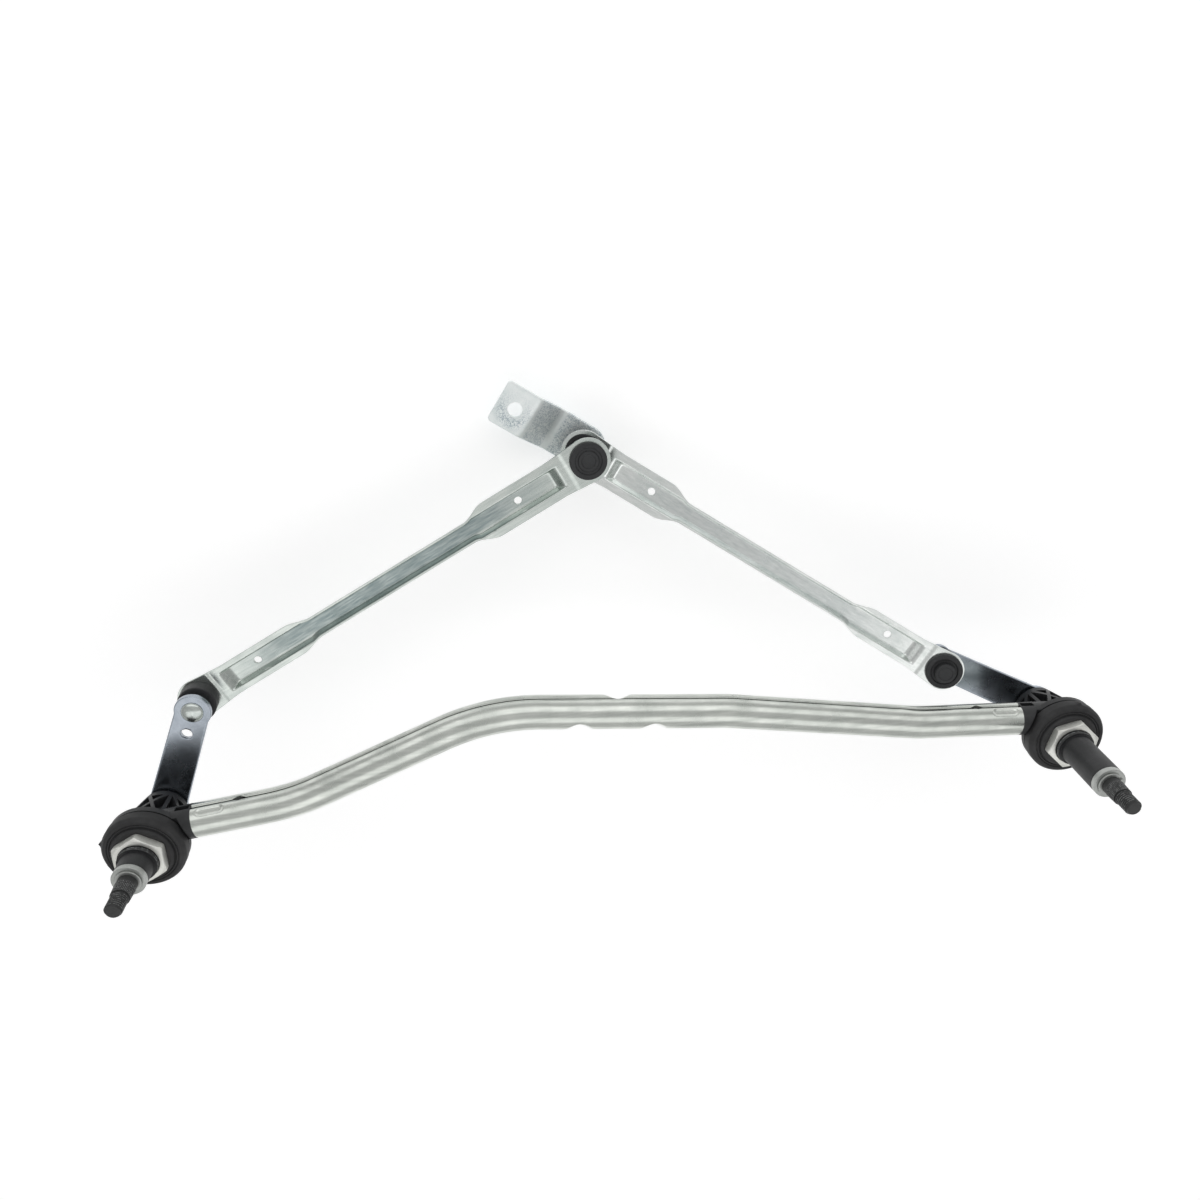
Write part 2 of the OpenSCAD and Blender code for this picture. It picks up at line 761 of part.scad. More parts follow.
// Flat outline of a link: rings, wide stretches and S-curves to the narrow middle
module link_outline(run, wide_len) {
    steps = 8;
    near_edge = [for (k = [0 : steps]) [wide_len + link_blend_len * k / steps, blend_half(k / steps)]];
    half = concat([[0, link_wide_w / 2]], near_edge);
    far_half = [for (k = [len(half) - 1 : -1 : 0]) [run - half[k].x, half[k].y]];
    top = concat(half, far_half);
    bottom = [for (k = [len(top) - 1 : -1 : 0]) [top[k].x, -top[k].y]];
    polygon(concat(top, bottom));
    circle(d = link_ring_d);
    translate([run, 0]) circle(d = link_ring_d);
}

// Long round-ended slot between the two trough ends
module trough_outline(run, width) {
    span = run - 2 * trough_in;
    translate([trough_in, -width / 2]) square([span, width]);
    translate([trough_in, 0]) circle(d = width);
    translate([trough_in + span, 0]) circle(d = width);
}

// Pressed link with its plate on z = 0 to link_t and the trough below it
module link_rod(run, wide_len) {
    color(zinc) difference() {
        union() {
            linear_extrude(link_t) link_outline(run, wide_len);
            translate([0, 0, -trough_depth]) linear_extrude(trough_depth)
                trough_outline(run, trough_w + 2 * link_t);
        }
        translate([0, 0, link_t - trough_depth]) linear_extrude(trough_depth + cut)
            trough_outline(run, trough_w);
        for (x = [0, run])
            translate([x, 0, -cut]) cylinder(d = socket_neck_d + 2 * press_gap, h = link_t + 2 * cut);
        for (x = [drain_in, run - drain_in])
            translate([x, 0, -trough_depth - cut]) cylinder(d = drain_d, h = link_t + 2 * cut);
    }
}

// Moves to the left link: origin on its lever ball, +X along the plate
module on_left_link() {
    translate(left_ball) rotate(left_link_heading) rotate([0, -left_slope, 0]) children();
}

// Moves to the right link: origin on its lever ball, +X along the plate
module on_right_link() {
    translate(right_ball) rotate(right_link_heading) rotate([0, -right_slope, 0]) children();
}

module left_link() {
    on_left_link() translate([0, 0, -socket_rise - link_t]) link_rod(left_run, left_wide_len);
}

module right_link() {
    on_right_link() translate([0, 0, socket_rise]) link_rod(right_run, right_wide_len);
}

// Closed snap socket around a ball at the origin, with its mouth below and its cap above the plate
module closed_socket(boss) {
    color(plastic_black) difference() {
        union() {
            translate([0, 0, -socket_lip]) cylinder(r = socket_r, h = socket_lip + socket_rise);
            cylinder(r = neck_r, h = cap_low);
            translate([0, 0, cap_low]) cylinder(r = socket_r, h = cap_t);
            cylinder(d = boss_d, h = cap_high + boss);
        }
        sphere(r = socket_cavity_r);
        mouth_r = sqrt(socket_cavity_r * socket_cavity_r - socket_lip * socket_lip);
        translate([0, 0, -socket_lip - cut]) cylinder(r = mouth_r, h = socket_lip);
        translate([0, 0, cap_high - cap_groove_depth])
            ring(boss_d + 2 * cap_groove_w, boss_d, cap_groove_depth + cut);
    }
}

// Socket that is open at both ends and has room for the lower crank ball to wander
module open_socket() {
    cavity_r = ball_r + open_play;
    mouth_r = cavity_r - 1;
    color(plastic_black) difference() {
        union() {
            translate([0, 0, -socket_lip]) cylinder(r = socket_r, h = socket_lip + socket_rise);
            cylinder(r = neck_r, h = cap_low);
            translate([0, 0, cap_low]) cylinder(r = socket_r, h = cut);
        }
        translate([0, 0, -socket_lip - cut]) cylinder(r = mouth_r, h = socket_lip + cap_high + 2 * cut);
        translate([0, 0, -socket_lip + cut]) cylinder(r = cavity_r, h = socket_lip + socket_rise - 2 * cut);
    }
}

module left_link_lever_socket() {
    on_left_link() rotate([180, 0, 0]) closed_socket(0);
}

module left_link_crank_socket() {
    on_left_link() translate([left_run, 0, -left_step]) closed_socket(0);
}

module right_link_lever_socket() {
    on_right_link() closed_socket(boss_h);
}

module right_link_crank_socket() {
    on_right_link() translate([right_run, 0, 0]) open_socket();
}

// Side view of the crank strip: ball end, slant up and motor end
module crank_side() {
    tail_x = crank_throw + crank_tail;
    high_x = crank_throw - crank_bend_in;
    low_x = high_x - crank_slant;
    lean = atan2(crank_rise, crank_slant);
    shift = crank_t * tan(lean / 2);
    polygon([
        [-crank_w / 2, -crank_t],
        [low_x + shift, -crank_t],
        [high_x + shift, crank_rise - crank_t],
        [tail_x, crank_rise - crank_t],
        [tail_x, crank_rise],
        [high_x, crank_rise],
        [low_x, 0],
        [-crank_w / 2, 0]
    ]);
}

// Plan view of the crank strip: round ball end and chamfered motor end
module crank_plan() {
    tail_x = crank_throw + crank_tail;
    half = crank_w / 2;
    circle(r = half);
    polygon([
        [0, -half],
        [tail_x - crank_chamfer, -half],
        [tail_x, -half + crank_chamfer],
        [tail_x, half - crank_chamfer],
        [tail_x - crank_chamfer, half],
        [0, half]
    ]);
}

module on_crank() {
    translate([lower_ball.x, lower_ball.y, crank_top_z]) rotate(crank_angle) children();
}

module crank_arm() {
    color(zinc) on_crank() difference() {
        intersection() {
            rotate([90, 0, 0]) translate([0, 0, -crank_w / 2]) linear_extrude(crank_w) crank_side();
            translate([0, 0, -crank_t]) linear_extrude(crank_t + crank_rise) crank_plan();
        }
        translate([0, 0, -crank_t - cut]) cylinder(d = pin_root_d + 2 * press_gap, h = crank_t + 2 * cut);
        translate([crank_throw, 0, crank_rise - crank_t - cut])
            cylinder(d = motor_hole_d, h = crank_t + 2 * cut);
    }
}

// Crank pin with two balls, the lower for the right link and the upper for the left link
module crank_ball_pin() {
    color(zinc) on_crank() {
        pin_root(crank_t);
        cylinder(d = ball_neck_d, h = ball_stand + ball_pitch);
        for (k = [0, 1])
            translate([0, 0, ball_stand + k * ball_pitch]) sphere(d = ball_d);
    }
}

frame_tube();
left_housing();
right_housing();
left_grommet();
right_grommet();
left_nut();
right_nut();
left_upper_bush();
left_lower_bush();
right_upper_bush();
right_lower_bush();
left_seal();
right_seal();
left_thrust_washer();
right_thrust_washer();
left_shaft();
left_clip();
left_lever_washer();
left_lever();
left_ball_pin();
right_shaft();
right_clip();
right_lever_washer();
right_lever();
right_ball_pin();
left_link();
left_link_lever_socket();
left_link_crank_socket();
right_link();
right_link_lever_socket();
right_link_crank_socket();
crank_arm();
crank_ball_pin();
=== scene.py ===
"""Looks of a windscreen wiper linkage: finishes, turned and pressed surfaces, light and camera.

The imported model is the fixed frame. Sizes are in millimetres, as on a drawing, and become metres
where points are placed. The origin is on the left pivot's axis in the panel seat's plane, +X points
to the right pivot, +Y to the crank and +Z along the wiper shafts.
"""
import json
import logging
import math
from dataclasses import dataclass
from enum import Enum
from typing import Sequence

import bmesh
import bpy
import numpy as np
from mathutils import Matrix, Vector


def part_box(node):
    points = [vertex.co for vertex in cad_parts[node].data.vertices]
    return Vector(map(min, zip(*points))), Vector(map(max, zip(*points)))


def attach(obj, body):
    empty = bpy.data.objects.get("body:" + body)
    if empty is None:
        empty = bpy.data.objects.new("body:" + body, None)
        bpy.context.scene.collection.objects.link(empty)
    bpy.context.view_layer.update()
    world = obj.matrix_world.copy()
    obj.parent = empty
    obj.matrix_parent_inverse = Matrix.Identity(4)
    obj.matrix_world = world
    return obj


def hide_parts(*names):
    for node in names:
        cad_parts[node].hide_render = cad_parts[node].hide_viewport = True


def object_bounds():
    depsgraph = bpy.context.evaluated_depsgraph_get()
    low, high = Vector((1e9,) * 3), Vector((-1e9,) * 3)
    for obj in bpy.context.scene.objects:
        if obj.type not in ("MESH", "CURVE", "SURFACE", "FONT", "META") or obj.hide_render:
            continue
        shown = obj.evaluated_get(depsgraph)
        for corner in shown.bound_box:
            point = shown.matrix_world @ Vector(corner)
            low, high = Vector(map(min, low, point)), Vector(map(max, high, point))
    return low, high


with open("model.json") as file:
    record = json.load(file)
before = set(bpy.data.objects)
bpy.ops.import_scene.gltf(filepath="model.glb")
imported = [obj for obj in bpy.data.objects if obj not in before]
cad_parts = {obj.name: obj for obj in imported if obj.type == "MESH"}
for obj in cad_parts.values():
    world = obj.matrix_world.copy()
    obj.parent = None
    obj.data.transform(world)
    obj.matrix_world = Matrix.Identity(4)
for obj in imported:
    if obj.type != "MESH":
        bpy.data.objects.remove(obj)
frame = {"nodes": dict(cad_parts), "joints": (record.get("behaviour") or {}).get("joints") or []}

Array = np.ndarray
Piece = bpy.types.Object
Tree = bpy.types.NodeTree
Socket = bpy.types.NodeSocket
Triple = tuple[float, float, float]

MM = 0.001
TURN = 2.0 * math.pi
LOG = logging.getLogger("wiper_linkage")
CAD_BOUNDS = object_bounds()
JOINTS = {joint["name"]: joint for joint in frame["joints"]}

# Numbers that all shapes share: points closer than this, in metres, are one, the clearance of a close fit,
# the points on a rounded corner and the angle in degrees from which an edge is shaded sharp.
WELD_DISTANCE = 2e-7
FIT = 0.02
ARC_POINTS = 6
SHARP = 38.0
# Numbers that all finishes share: the mesh attribute of marks, which are scuffs, crystals, painted shade and
# painted glints, the length of drawn lines in widths, the size of the clouds, the area over which specks
# gather and the faintest that a drawn line of painted shade gets.
WEAR_AND_PAINTED_LIGHT = "wear_and_painted_light"
STREAK_LENGTH = 33.0
CLOUD_SIZE = 18.0
SPECK_AREA = 6.0
FAINTEST_STREAK = 0.55
# Spans in which noise, tone plus area of wear, and patches plus clouds mostly lie.
NOISE_SPAN = {"From Min": 0.3, "From Max": 0.7}
SPECK_SPAN = {"From Min": 0.8, "From Max": 1.3}
PATCH_SPAN = {"From Min": 0.6, "From Max": 1.4}


# Numbers and grids


def smooth_step(u: Array) -> Array:
    """Eases from 0 to 1 as 3u^2 - 2u^3, with u held between 0 and 1."""
    held = np.clip(u, 0.0, 1.0)
    return held * held * (3.0 - 2.0 * held)


def soft_min(a: Array, b: Array, blend: float) -> Array:
    """Takes the smaller of two arrays, rounded as (a + b - sqrt((a - b)^2 + blend^2)) / 2."""
    return 0.5 * (a + b - np.sqrt((a - b) ** 2 + blend**2))


def triangle_wave(u: Array) -> Array:
    """Zigzags from 0 to 1 and back once per unit of u, as 1 - |2 frac(u) - 1|."""
    return 1.0 - np.abs(2.0 * np.mod(u, 1.0) - 1.0)


def unit(vectors: Array) -> Array:
    """Scales each vector along the last axis to a length of 1."""
    return vectors / np.maximum(np.linalg.norm(vectors, axis=-1, keepdims=True), 1e-9)


def joint_place(name: str) -> Array:
    """Reads where a joint of the frame sits at rest, in millimetres."""
    return np.array(JOINTS[name]["pos_m"], dtype=float) / MM


def full_turn(columns: int) -> Array:
    """Divides a full turn into even steps, in radians."""
    return np.arange(columns) * TURN / columns


def polar(radius: Array, angle: Array, height: Array) -> Array:
    """Puts radius r, angle a and height z, which broadcast, at (r cos a, r sin a, z)."""
    radius, angle, height = np.broadcast_arrays(radius, angle, height)
    return np.stack((radius * np.cos(angle), radius * np.sin(angle), height), axis=-1)


def revolve(profile: Array, columns: int) -> Array:
    """Turns an (n, 2) profile of r and z about the Z axis into an (n, columns, 3) grid."""
    return polar(profile[:, :1], full_turn(columns), profile[:, 1:])


def flat_ring(inner: float, outer: float, low: float, height: float, radii: Sequence[float]) -> list[Triple]:
    """Lists the corners (r, z, radius) of a flat ring's section, from inside below to inside above."""
    top = low + height
    return list(zip((inner, outer, outer, inner), (low, low, top, top), radii))


def rounded_loop(corners: Sequence[Triple], steps: int = ARC_POINTS) -> Array:
    """Rounds every corner of a closed profile with an arc that touches both of its sides.

    The arc's centre lies on the corner's bisector at radius / sin(half angle), and the arc is
    swept from one touching point to the other by spherical interpolation.

    Args:
        corners: (r, z, radius) of each corner in order.
        steps: Points on each arc.

    Returns:
        An (n, 2) loop of r and z.
    """
    data = np.array(corners, dtype=float)
    points, radius = data[:, :2], data[:, 2:]
    back = unit(np.roll(points, 1, axis=0) - points)
    ahead = unit(np.roll(points, -1, axis=0) - points)
    half = 0.5 * np.arccos(np.clip(np.sum(back * ahead, axis=1, keepdims=True), -1.0, 1.0))
    centre = points + unit(back + ahead) * radius / np.sin(half)
    first = (points + back * radius / np.tan(half) - centre)[:, None]
    second = (points + ahead * radius / np.tan(half) - centre)[:, None]
    sweep = np.maximum(math.pi - 2.0 * half, 1e-6)[:, None, :]
    t = np.linspace(0.0, 1.0, steps)[None, :, None]
    arc = (np.sin((1.0 - t) * sweep) * first + np.sin(t * sweep) * second) / np.sin(sweep)
    return (centre[:, None] + arc).reshape(-1, 2)


def strip_section(half_width: Array, thickness: float, edge: float, columns: int) -> tuple[Array, Array]:
    """Lays a flat strip's rounded cross-section at every place along it.

    The loop is a rounded rectangle: the upper face from one side to the other, an edge with two quarter
    rounds, the lower face back and the other edge. The edge radius shrinks with the width.

    Args:
        half_width: Half width at each of n places.
        thickness: Thickness of the strip.
        edge: Radius of the edges.
        columns: Points across each face.

    Returns:
        Two (n, m) arrays: the offset across and the height from the upper face.
    """
    foot = np.linspace(0.0, math.pi / 2.0, ARC_POINTS)
    corner = foot[1:]
    wide = half_width[:, None]
    radius = np.minimum(edge, 0.6 * wide)
    drop = np.minimum(edge, thickness / 2.0)
    flat = wide - radius
    upper = flat * np.linspace(-1.0, 1.0, columns)
    upper_arc, lower_arc = flat + radius * np.sin(corner), flat + radius * np.cos(foot)
    y = np.concatenate((upper, upper_arc, lower_arc), axis=1)
    z = np.concatenate((
        np.zeros(columns), -drop * (1.0 - np.cos(corner)), -thickness + drop * (1.0 - np.sin(foot)),
    )) + 0.0 * wide
    return np.concatenate((y, -y), axis=1), np.concatenate((z, -thickness - z), axis=1)


def grid_faces(rows: int, cols: int, wrap_rows: bool) -> Array:
    """Lists the quads of a grid of points whose columns close into a ring.

    Args:
        rows: Number of rows.
        cols: Number of columns.
        wrap_rows: Whether the last row joins the first.

    Returns:
        An (n, 4) array of point numbers.
    """
    a, b = np.meshgrid(np.arange(rows if wrap_rows else rows - 1), np.arange(cols), indexing="ij")
    a_next, b_next = (a + 1) % rows, (b + 1) % cols
    quads = (a * cols + b, a_next * cols + b, a_next * cols + b_next, a * cols + b_next)
    return np.stack(quads, axis=-1).reshape(-1, 4)


@dataclass(frozen=True)
class Placement:
    """A piece's own axes in the frame: a point, a heading in plan, a slope and a flip.

    Attributes:
        origin: Point in millimetres.
        heading: Angle of the piece's +X in plan, in degrees.
        slope: Rise of the piece's +X above the level, in degrees.
        flipped: Whether the piece is turned over about its +X.
    """

    origin: Triple
    heading: float = 0.0
    slope: float = 0.0
    flipped: bool = False

    def apply(self, points: Array) -> Array:
        """Moves points from the piece's axes to the frame.

        Args:
            points: Array whose last axis is x, y, z in millimetres.

        Returns:
            The same points in the frame, in metres.
        """
        head, rise = math.radians(self.heading), math.radians(self.slope)
        ahead, aside = math.cos(head), math.sin(head)
        x_axis = np.array((ahead * math.cos(rise), aside * math.cos(rise), math.sin(rise)))
        y_axis = np.array((-aside, ahead, 0.0))
        side = -1.0 if self.flipped else 1.0
        basis = np.stack((x_axis, side * y_axis, side * np.cross(x_axis, y_axis)))
        return (np.asarray(self.origin) + points @ basis) * MM


def new_mesh(
    name: str, points: Array, faces: list[list[int]], sharp: float = SHARP, wear_and_painted_light: Array | None = None
) -> Piece:
    """Puts points and faces into a mesh, welds its seams and poles and turns its faces outward.

    Args:
        name: Object and mesh name.
        points: Array of points in metres.
        faces: Point numbers of each face.
        sharp: Angle in degrees from which an edge is shaded sharp.
        wear_and_painted_light: How strongly the marks colour shows at each point, from 0 to 1: scuffs,
            crystals, painted shade and painted glints.

    Returns:
        The new object, linked to the scene.
    """
    mesh = bpy.data.meshes.new(name)
    mesh.from_pydata(points.reshape(-1, 3).tolist(), [], faces)
    if wear_and_painted_light is not None:
        layer = mesh.attributes.new(WEAR_AND_PAINTED_LIGHT, "FLOAT", "POINT")
        layer.data.foreach_set("value", wear_and_painted_light.astype(np.float32).ravel())
    shell = bmesh.new()
    shell.from_mesh(mesh)
    bmesh.ops.remove_doubles(shell, verts=shell.verts, dist=WELD_DISTANCE)
    bmesh.ops.recalc_face_normals(shell, faces=shell.faces)
    shell.to_mesh(mesh)
    shell.free()
    mesh.polygons.foreach_set("use_smooth", np.ones(len(mesh.polygons), dtype=bool))
    mesh.set_sharp_from_angle(angle=math.radians(sharp))
    piece = bpy.data.objects.new(name, mesh)
    bpy.context.scene.collection.objects.link(piece)
    return piece


def grid_mesh(
    name: str, place: Placement, points: Array, wrap_rows: bool = True, caps: Sequence[int] = (),
    sharp: float = SHARP, wear_and_painted_light: Array | None = None,
) -> Piece:
    """Makes a mesh of a grid of points whose columns close into a ring.

    Args:
        name: Object and mesh name.
        place: The piece's axes.
        points: (rows, columns, 3) grid in those axes.
        wrap_rows: Whether the last row joins the first.
        caps: Rows that get a face of their own, 0 for the first and -1 for the last.
        sharp: Angle in degrees from which an edge is shaded sharp.
        wear_and_painted_light: How strongly the marks colour shows at each point, from 0 to 1: scuffs,
            crystals, painted shade and painted glints.

    Returns:
        The new object.
    """
    rows, cols = points.shape[:2]
    faces = grid_faces(rows, cols, wrap_rows).tolist()
    faces += [(row % rows * cols + np.arange(cols)).tolist() for row in caps]
    return new_mesh(name, place.apply(points), faces, sharp, wear_and_painted_light)


def drill(piece: Piece, place: Placement, holes: Sequence[Triple], reach: float) -> None:
    """Cuts round holes along the piece's own Z.

    Args:
        piece: Object to cut.
        place: The piece's axes.
        holes: (x, y, diameter) of each hole in those axes.
        reach: Half length of the cutters.
    """
    columns = 48
    bars, faces = [], []
    for number, (x, y, diameter) in enumerate(holes):
        r = diameter / 2.0
        bar = revolve(np.array(((0.0, -reach), (r, -reach), (r, reach), (0.0, reach))), columns)
        bars.append(bar + np.array((x, y, 0.0)))
        faces.append(grid_faces(4, columns, True) + number * 4 * columns)
    points = place.apply(np.concatenate(bars))
    cutter = new_mesh(piece.name + "_cutter", points, np.concatenate(faces).tolist())
    cut = piece.modifiers.new("holes", "BOOLEAN")
    cut.operation, cut.solver, cut.object = "DIFFERENCE", "EXACT", cutter
    graph = bpy.context.evaluated_depsgraph_get()
    whole = piece.data
    piece.data = bpy.data.meshes.new_from_object(piece.evaluated_get(graph))
    piece.modifiers.clear()
    bpy.data.meshes.remove(whole)
    bpy.data.meshes.remove(cutter.data)


# Finishes


def srgb(code: str) -> tuple[float, float, float, float]:
    """Turns an sRGB hex colour into linear light.

    Args:
        code: Colour such as "#C4C8C6".

    Returns:
        Linear red, green, blue and an alpha of 1.
    """
    value = np.array([int(code[i : i + 2], 16) for i in (1, 3, 5)]) / 255.0
    linear = np.where(value <= 0.04045, value / 12.92, ((value + 0.055) / 1.055) ** 2.4)
    return (float(linear[0]), float(linear[1]), float(linear[2]), 1.0)


def add_node(
    tree: Tree, kind: str, values: dict[str | int, object] | None = None,
    links: dict[str | int, Socket] | None = None, out: str | int = 0, **settings: object,
) -> Socket:
    """Adds one node to a tree.

    Args:
        tree: Node tree of a material or the world.
        kind: Node type without the word that all shader nodes begin with.
        values: Constant inputs by name or number.
        links: Sockets that feed inputs by name or number.
        out: Name or number of the output that is wanted.
        **settings: Properties of the node itself.

    Returns:
        That output of the new node.
    """
    node = tree.nodes.new("ShaderNode" + kind)
    for key, value in settings.items():
        setattr(node, key, value)
    for key, value in (values or {}).items():
        node.inputs[key].default_value = value
    for key, socket in (links or {}).items():
        tree.links.new(socket, node.inputs[key])
    return node.outputs[out]


def new_material(name: str) -> tuple[bpy.types.Material, Tree, bpy.types.Node]:
    """Makes a material with a node tree.

    Args:
        name: Material name.

    Returns:
        The material, its tree and its shader.
    """
    material = bpy.data.materials.new(name)
    material.use_nodes = True
    tree = material.node_tree
    return material, tree, next(node for node in tree.nodes if node.type == "BSDF_PRINCIPLED")


class Pattern(Enum):
    """What breaks up the colour of a finish."""

    MOTTLE = "cloudy plating"
    STREAK = "drawn lines"
    PORES = "open pores"


@dataclass(frozen=True)
class Finish:
    """A surface finish with its pattern, its marks of scuffs, crystals and painted light, and its grain.

    Attributes:
        name: Material name.
        slot: Material slot of the record.
        light: sRGB colour of the light patches.
        dark: sRGB colour of the dark patches.
        worn_and_painted_light: sRGB colour of the marks: scuffed metal and crystals, and painted shade and
            glints where the mesh asks for them.
        metallic: Whether the surface is bare metal.
        pattern: What breaks up the colour.
        patch: Size of the patches.
        roughness: Lowest and highest roughness.
        grain: Size of the fine grain.
        grain_depth: Depth of the fine grain.
        edge: Radius at which shading rounds the edges.
        speck: Size of the specks of scuffs, crystals and painted light.
        turn: Direction of drawn lines in plan, in degrees.
    """

    name: str
    slot: str
    light: str
    dark: str
    worn_and_painted_light: str
    metallic: bool
    pattern: Pattern
    patch: float
    roughness: tuple[float, float]
    grain: float
    grain_depth: float
    edge: float
    speck: float = 0.8
    turn: float = 0.0

    def material(self) -> bpy.types.Material:
        """Gives the material, which is built on first use."""
        return bpy.data.materials.get(self.name) or self._build()

    def _patches(self, tree: Tree, place: Socket) -> Socket:
        """Adds the pattern that mixes the two colours.

        Args:
            tree: The material's tree.
            place: Object coordinates.

        Returns:
            A socket from 0, dark, to 1, light.
        """
        values, feed = {"Scale": 1.0 / (self.patch * MM)}, {"Vector": place}
        if self.pattern is Pattern.PORES:
            return add_node(tree, "TexVoronoi", values, feed, "Distance", feature="DISTANCE_TO_EDGE")
        if self.pattern is Pattern.STREAK:
            return add_node(tree, "TexNoise", values | {"Detail": 4.0}, feed)
        return add_node(tree, "TexNoise", values | {"Detail": 5.0, "Distortion": 0.6}, feed)

    def _specks(self, tree: Tree, place: Socket) -> Socket:
        """Adds the specks or lines of the marks colour, where the mesh says so: scuffs and crystals, and
        painted shade and painted glints.

        Args:
            tree: The material's tree.
            place: Object coordinates.

        Returns:
            A socket from 0, unmarked, to 1, fully marked.
        """
        fine, feed = 1.0 / (self.speck * MM), {"Vector": place}
        if self.pattern is Pattern.STREAK:
            # On the link sheets these drawn lines carry the painted shade of the trough.
            lines = add_node(tree, "TexNoise", {"Scale": fine, "Detail": 3.0}, feed)
            span = NOISE_SPAN | {"To Min": FAINTEST_STREAK}
            cover = add_node(tree, "MapRange", span, {"Value": lines})
        else:
            cells = add_node(tree, "TexVoronoi", {"Scale": fine}, feed, "Color")
            tone = add_node(tree, "SeparateColor", None, {0: cells})
            area = add_node(tree, "TexNoise", {"Scale": fine / SPECK_AREA, "Detail": 3.0}, feed)
            both = add_node(tree, "Math", None, {0: tone, 1: area}, operation="ADD")
            cover = add_node(tree, "MapRange", SPECK_SPAN, {"Value": both})
        share = add_node(tree, "Attribute", out="Fac", attribute_name=WEAR_AND_PAINTED_LIGHT)
        return add_node(tree, "Math", None, {0: share, 1: cover}, operation="MULTIPLY")

    def _build(self) -> bpy.types.Material:
        """Builds the node tree: patches of colour, uneven gloss, fine grain and rounded edges.

        Returns:
            The new material.
        """
        material, tree, shader = new_material(self.name)
        material.diffuse_color = srgb(self.light)
        place = add_node(tree, "TexCoord", out="Object")
        feed = {"Vector": place}
        drawn = place
        if self.pattern is Pattern.STREAK:
            stretch = {"Rotation": (0.0, 0.0, math.radians(self.turn)), "Scale": (STREAK_LENGTH, 1.0, 1.0)}
            drawn = add_node(tree, "Mapping", stretch, feed, vector_type="TEXTURE")
        patches = self._patches(tree, drawn)
        clouds = add_node(tree, "TexNoise", {"Scale": 1.0 / (CLOUD_SIZE * MM), "Detail": 3.0}, feed)
        both = add_node(tree, "Math", None, {0: patches, 1: clouds}, operation="ADD")
        share = add_node(tree, "MapRange", PATCH_SPAN, {"Value": both})
        tones = {6: srgb(self.dark), 7: srgb(self.light)}
        colour = add_node(tree, "Mix", tones, {0: share}, 2, data_type="RGBA")
        # The mesh's attribute mixes in the marks colour: scuffs and crystals, and painted shade and painted
        # glints where set.
        scuffed_and_painted = {0: self._specks(tree, drawn), 6: colour}
        colour = add_node(tree, "Mix", {7: srgb(self.worn_and_painted_light)}, scuffed_and_painted, 2, data_type="RGBA")
        low, high = self.roughness
        gloss = add_node(tree, "MapRange", NOISE_SPAN | {"To Min": high, "To Max": low}, {"Value": clouds})
        grain = add_node(tree, "TexNoise", {"Scale": 1.0 / (self.grain * MM), "Detail": 2.0}, feed)
        rounded = add_node(tree, "Bevel", {"Radius": self.edge * MM}, samples=6)
        depth = {"Strength": 1.0, "Distance": self.grain_depth * MM}
        relief = add_node(tree, "Bump", depth, {"Height": grain, "Normal": rounded})
        shader.inputs["Metallic"].default_value = 1.0 if self.metallic else 0.0
        for name, socket in (("Base Color", colour), ("Roughness", gloss), ("Normal", relief)):
            tree.links.new(socket, shader.inputs[name])
        LOG.info("finish %s: %s", self.name, self.pattern.value)
        return material


# Bright drawn tube: long pale and grey lines that follow the tube and broken highlights.
GALVANISED = Finish(
    "Galvanised_Steel_Tube", "galvanised_tube", "#DEE1DB", "#B4B9B3", "#9A9E9A", True, Pattern.STREAK, 2.5,
    (0.20, 0.30), 0.9, 0.010, 0.3,
)
# Pressed sheet with a pale, slightly cloudy zinc coat: soft highlights and a mottled grey.
ZINC_SHEET = Finish(
    "Zinc_Plated_Sheet_Steel", "zinc_plate", "#D9DEDA", "#AAB2AE", "#8E9391", True, Pattern.MOTTLE, 3.0,
    (0.16, 0.28), 0.7, 0.012, 0.35,
)
# Rolled sheet of the left link: long streaks, and a blue-grey painted shade on its trough's floor and far
# wall.
SHADED_TROUGH_SHEET = Finish(
    "Zinc_Plated_Rolled_Sheet_Steel", "zinc_plate", "#D9DED9", "#B8C0BC", "#65777A", True, Pattern.STREAK,
    1.8, (0.18, 0.30), 0.7, 0.010, 0.35, 1.2, 25.75,
)
# Rolled sheet of the right link: the same long streaks in a fresher, almost white zinc, with a grey painted
# shade in its trough.
FRESH_SHEET = Finish(
    "Fresh_Zinc_Plated_Rolled_Sheet_Steel", "zinc_plate", "#F5F7F5", "#D6DCD9", "#828C90", True,
    Pattern.STREAK, 1.8, (0.18, 0.30), 0.7, 0.010, 0.35, 1.2, 146.2,
)
# Tumbled zinc on the nuts: nearly white and matt, so that their flats differ only a little.
MATT_ZINC = Finish(
    "Tumbled_Zinc_Plated_Steel", "zinc_plate", "#F0F0EB", "#DCDDD7", "#A8AAA6", True, Pattern.MOTTLE, 2.0,
    (0.46, 0.58), 0.5, 0.015, 0.4,
)
# Phosphated steel of the thrust washers and clips: an even, matt mid grey.
GREY_STEEL = Finish(
    "Phosphated_Steel", "zinc_plate", "#BFC1BE", "#A6A9A6", "#D5D7D4", True, Pattern.MOTTLE, 1.5,
    (0.42, 0.54), 0.4, 0.012, 0.3,
)
# Thicker strip with a smooth blue-grey plating, which mirrors the black mouldings beside it.
ZINC_STRIP = Finish(
    "Zinc_Plated_Strip_Steel", "lever_zinc", "#B4BBC3", "#969EA7", "#DDE1E2", True, Pattern.MOTTLE, 6.0,
    (0.22, 0.32), 1.2, 0.004, 0.5,
)
